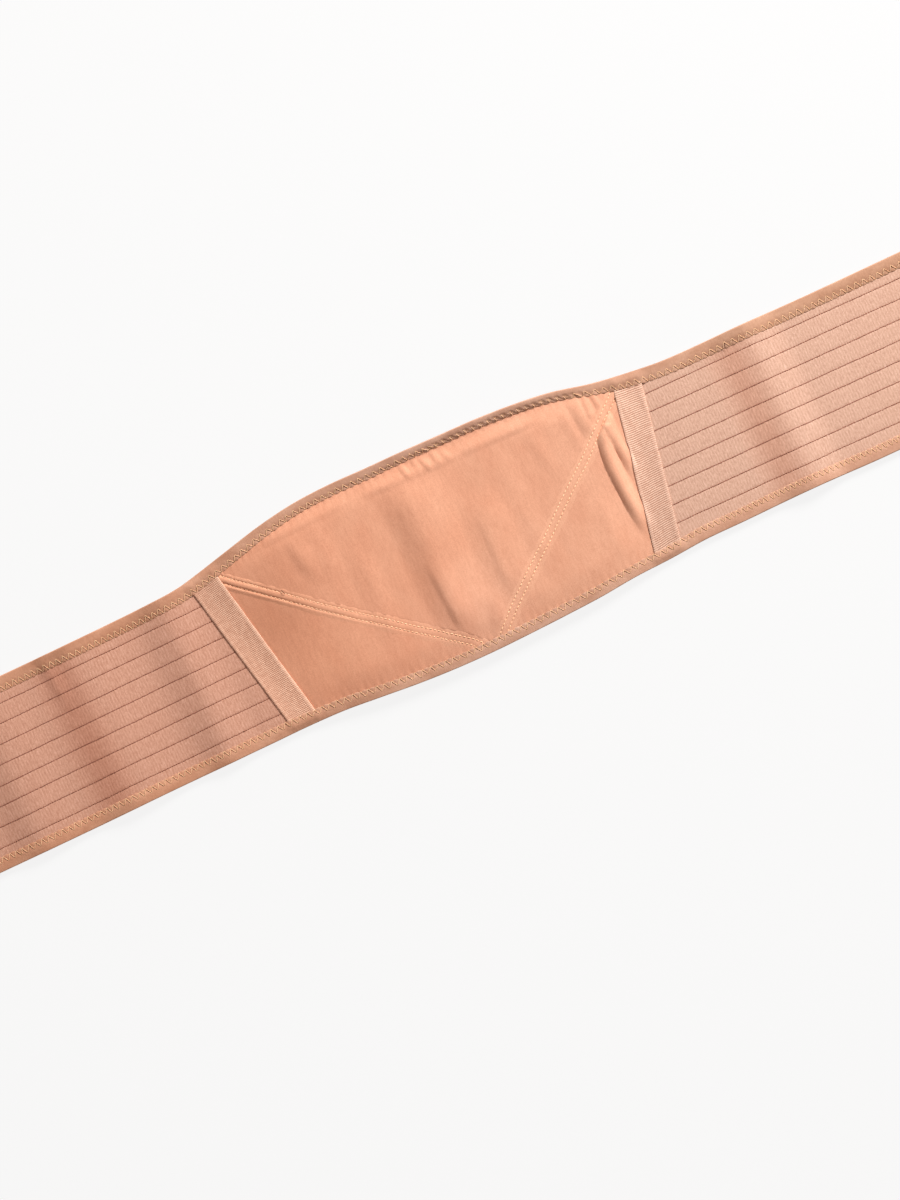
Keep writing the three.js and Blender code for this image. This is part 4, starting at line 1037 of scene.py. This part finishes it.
def long_binding(is_top):
    key = "top" if is_top else "bottom"
    x_end = HALF - CORNER
    x = np.linspace(-x_end, x_end, 1010)
    px, py, nx, ny, band = edge_places(x, is_top)
    phase = zigzag_phase(x, key)
    share = roll_share(x) if is_top else np.zeros_like(x)
    name = f"binding_{key}_elastic"
    obj = binding(name, px, py, nx, ny, band, phase, share, tape_bump(x, is_top), cloth_under(x))
    grid = np.linspace(-x_end, x_end, 8000)
    pg = zigzag_phase(grid, key)
    places = dict(
        legs=lambda s: edge_places(s, is_top),
        span=(-x_end, x_end),
        inverse=lambda p: np.interp(p, pg, grid),
    )
    threads = []
    for under in (False, True):
        z = zigzag(
            f"zigzag_{key}_{'under' if under else 'face'}", places,
            lambda s: zigzag_phase(s, key),
            (lambda s: roll_share(s)) if is_top else (lambda s: np.zeros_like(np.asarray(s, float))),
            lambda s: tape_bump(s, is_top), cloth_under, under,
        )
        threads.append(z)
    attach(obj, "root")
    nodes = ["binding_top_left", "binding_top_center", "binding_top_right"] if is_top else ["binding_bottom"]
    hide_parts(*nodes)
    for z in threads:
        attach(z, "root")
    return obj, threads


def end_binding(side):
    sign = -1.0 if side == "left" else 1.0
    s, px, py, nx, ny, band = end_places(sign, 1.2)
    total = s[-1]
    pitch = total / round(total / 5.0)
    zero = np.zeros_like(s)
    obj = binding(f"binding_end_{side}_elastic", px, py, nx, ny, band, s / pitch, zero, zero, np.full_like(s, WING_CLOTH - 0.10))
    def legs(q):
        return tuple(np.interp(q, s, a) for a in (px, py, nx, ny, band))
    places = dict(legs=legs, span=(0.0, total), inverse=lambda p: np.asarray(p) * pitch)
    threads = []
    for under in (False, True):
        z = zigzag(
            f"zigzag_end_{side}_{'under' if under else 'face'}", places, lambda q: q / pitch,
            lambda q: np.zeros_like(q), lambda q: np.zeros_like(q), lambda q: np.full_like(q, WING_CLOTH - 0.10), under,
        )
        threads.append(z)
    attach(obj, "root")
    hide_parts(f"binding_end_{side}")
    for z in threads:
        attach(z, "root")
    return obj, threads


# ------------------------------------------------------------------ hook patch
def hook_patch():
    lo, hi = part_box("hook_patch")
    x0, y0, x1, y1 = lo[0] * 1000, lo[1] * 1000, hi[0] * 1000, hi[1] * 1000
    cx, cy, w, h, r = (x0 + x1) / 2, (y0 + y1) / 2, (x1 - x0) / 2, (y1 - y0) / 2, 6.0
    def outline(inset):
        pts = []
        rr = max(r - inset, 0.5)
        for qx, qy, a0 in ((1, -1, -90), (1, 1, 0), (-1, 1, 90), (-1, -1, 180)):
            for k in range(9):
                a = math.radians(a0 + k * 90 / 8)
                pts.append((cx + qx * (w - inset - rr) + rr * math.cos(a), cy + qy * (h - inset - rr) + rr * math.sin(a)))
        return np.array(pts)
    rings = [(0.5, 1.95), (0.12, 1.86), (0.0, 1.70), (0.0, 1.15), (0.15, 0.96), (0.6, 0.90)]
    verts = np.concatenate([np.column_stack([outline(i), np.full(36, z)]) for i, z in rings])
    idx = np.arange(36 * len(rings)).reshape(len(rings), 36)
    a, b = idx[:-1], idx[1:]
    quads = np.stack([a, b, np.roll(b, -1, 1), np.roll(a, -1, 1)], -1).reshape(-1, 4)
    obj = new_object("hook_patch_tape", verts, [quads, idx[0][None, :], idx[-1][None, ::-1]], M_HOOK, crease=50)
    # rows of small hooks, pointing down
    gx, gy = np.meshgrid(np.arange(x0 + 2.4, x1 - 2.0, 2.2), np.arange(y0 + 2.4, y1 - 2.0, 2.2), indexing="ij")
    gx, gy = gx.ravel(), gy.ravel()
    way = np.where((np.round(gx / 2.2).astype(int) % 2) == 0, 1.0, -1.0)
    local = np.array([(-0.35, 0.95), (-0.42, 0.56), (-0.22, 0.19), (0.18, 0.20), (0.38, 0.50)])
    paths = np.stack([
        gx[:, None] + way[:, None] * local[None, :, 0],
        np.repeat(gy[:, None], 5, axis=1) + RNG.normal(0, 0.08, (len(gx), 1)),
        np.repeat(local[None, :, 1], len(gx), axis=0),
    ], -1)
    hooks = tubes("hook_rows", paths, 0.14, 4, M_HOOK)
    # box stitching that holds the patch, seen on the wing's face
    rect = [(x0 + 3, y0 + 3), (x1 - 3, y0 + 3), (x1 - 3, y1 - 3), (x0 + 3, y1 - 3)]
    lines = []
    for k in range(4):
        (ax, ay), (bx, by) = rect[k], rect[(k + 1) % 4]
        ln = math.hypot(bx - ax, by - ay)
        mids = np.arange(1.5, ln - 1.0, 3.0)
        q = mids[:, None] + np.array([-1.1, -0.7, 0.0, 0.7, 1.1])[None, :]
        lines.append(lifted(ax + (bx - ax) * q / ln, ay + (by - ay) * q / ln, np.broadcast_to(WING_CLOTH - 0.12 + np.array([-0.2, 0.12, 0.2, 0.12, -0.2])[None, :], q.shape)))
    box = tubes("hook_patch_stitches", np.concatenate(lines), 0.24, 6, M_ZIGZAG, taper=(0.7, 1, 1, 1, 0.7))
    for o in (obj, hooks, box):
        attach(o, "root")
    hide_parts("hook_patch")
    return obj, hooks, box


# ------------------------------------------------------------------ loose ends
def loose_threads():
    made = []
    bits = {
        "thread_end_panel": [(-116.4, 24.8, 2.3), (-116.0, 23.8, 2.5), (-115.7, 22.6, 2.5), (-115.2, 21.2, 2.2)],
        "thread_end_wing": [(237.7, 49.0, 3.2), (237.3, 48.0, 3.5), (237.0, 46.9, 3.3), (237.1, 45.6, 2.5)],
    }
    for name, pts in bits.items():
        p = np.array(pts, dtype=float)
        path = lifted(p[:, 0], p[:, 1], p[:, 2])[None]
        o = tubes(name, path, 0.22, 6, M_BIT, taper=(0.6, 1, 1, 0.5))
        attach(o, "root")
        made.append(o)
    return made


# ------------------------------------------------------------------ stage
def stage():
    mesh = bpy.data.meshes.new("floor")
    size = 60.0
    mesh.from_pydata([(-size, -size, 0), (size, -size, 0), (size, size, 0), (-size, size, 0)], [], [(0, 1, 2, 3)])
    floor = bpy.data.objects.new("floor", mesh)
    bpy.context.scene.collection.objects.link(floor)
    mat = bpy.data.materials.new("floor")
    mat.use_nodes = True
    s = mat.node_tree.nodes["Principled BSDF"]
    s.inputs["Base Color"].default_value = (0.08, 0.08, 0.08, 1)
    s.inputs["Emission Color"].default_value = (1.0, 1.0, 1.0, 1)
    s.inputs["Emission Strength"].default_value = 0.855
    s.inputs["Roughness"].default_value = 0.9
    s.inputs["Specular IOR Level"].default_value = 0.1
    mesh.materials.append(mat)
    world = bpy.data.worlds.new("studio")
    world.use_nodes = True
    tree = world.node_tree
    bg = tree.nodes["Background"]
    where = tree.nodes.new("ShaderNodeTexCoord")
    split = tree.nodes.new("ShaderNodeSeparateXYZ")
    ramp = tree.nodes.new("ShaderNodeValToRGB")
    ramp.color_ramp.elements[0].position = 0.17
    ramp.color_ramp.elements[0].color = (0.90, 0.90, 0.89, 1)
    ramp.color_ramp.elements[1].position = 0.30
    ramp.color_ramp.elements[1].color = (0.355, 0.300, 0.270, 1)
    tree.links.new(where.outputs["Generated"], split.inputs[0])
    tree.links.new(split.outputs["Z"], ramp.inputs["Fac"])
    tree.links.new(ramp.outputs["Color"], bg.inputs["Color"])
    bg.inputs["Strength"].default_value = 1.0
    bpy.context.scene.world = world
    scene = bpy.context.scene
    scene.view_settings.view_transform = "Standard"
    scene.view_settings.look = "None"
    scene.view_settings.exposure = 0.0
    scene.view_settings.gamma = 1.0
    return floor


def area_light(name, place, target, size, power, color):
    data = bpy.data.lights.new(name, "AREA")
    data.shape = "RECTANGLE"
    data.size, data.size_y = size
    data.energy = power
    data.color = color
    obj = bpy.data.objects.new(name, data)
    bpy.context.scene.collection.objects.link(obj)
    obj.location = place
    d = np.array(target, dtype=float) - np.array(place, dtype=float)
    d /= np.linalg.norm(d)
    obj.rotation_euler = Vector(d).to_track_quat("-Z", "Y").to_euler()
    return obj


def camera():
    data = bpy.data.cameras.new("camera")
    data.type = "PERSP"
    data.sensor_fit = "VERTICAL"
    data.sensor_height = 36.0
    data.sensor_width = 27.0
    data.lens = 85.0
    data.clip_end = 200.0
    obj = bpy.data.objects.new("camera", data)
    bpy.context.scene.collection.objects.link(obj)
    obj.location = (-0.01286, -0.0317, 1.988)
    obj.rotation_euler = (0, 0, math.radians(-25.2))
    bpy.context.scene.camera = obj
    return obj


# ------------------------------------------------------------------ build
camera()
floor = stage()
KEY_ELEVATION = math.radians(28.0)
KEY_DISTANCE = 2.7
KEY_SHARE = 0.86
key_way = np.array([0.7508 * math.cos(KEY_ELEVATION), 0.6605 * math.cos(KEY_ELEVATION), math.sin(KEY_ELEVATION)])
key_power = KEY_SHARE * math.pi ** 2 * KEY_DISTANCE ** 2 / math.sin(KEY_ELEVATION)
area_light("key_softbox", tuple(key_way * KEY_DISTANCE), (0, 0, 0), (0.8, 0.8), key_power, (1.0, 0.985, 0.965))

wings = {s: wing(s) for s in ("left", "right")}
panels = {"center": center_panel(), "left": side_panel("left"), "right": side_panel("right")}
seams = {s: felled_seam(s) for s in ("left", "right")}
tapes = {s: tape(s) for s in ("left", "right")}
long_edges = {k: long_binding(k == "top") for k in ("top", "bottom")}
end_edges = {s: end_binding(s) for s in ("left", "right")}
patch, hooks, patch_stitches = hook_patch()
bits = loose_threads()
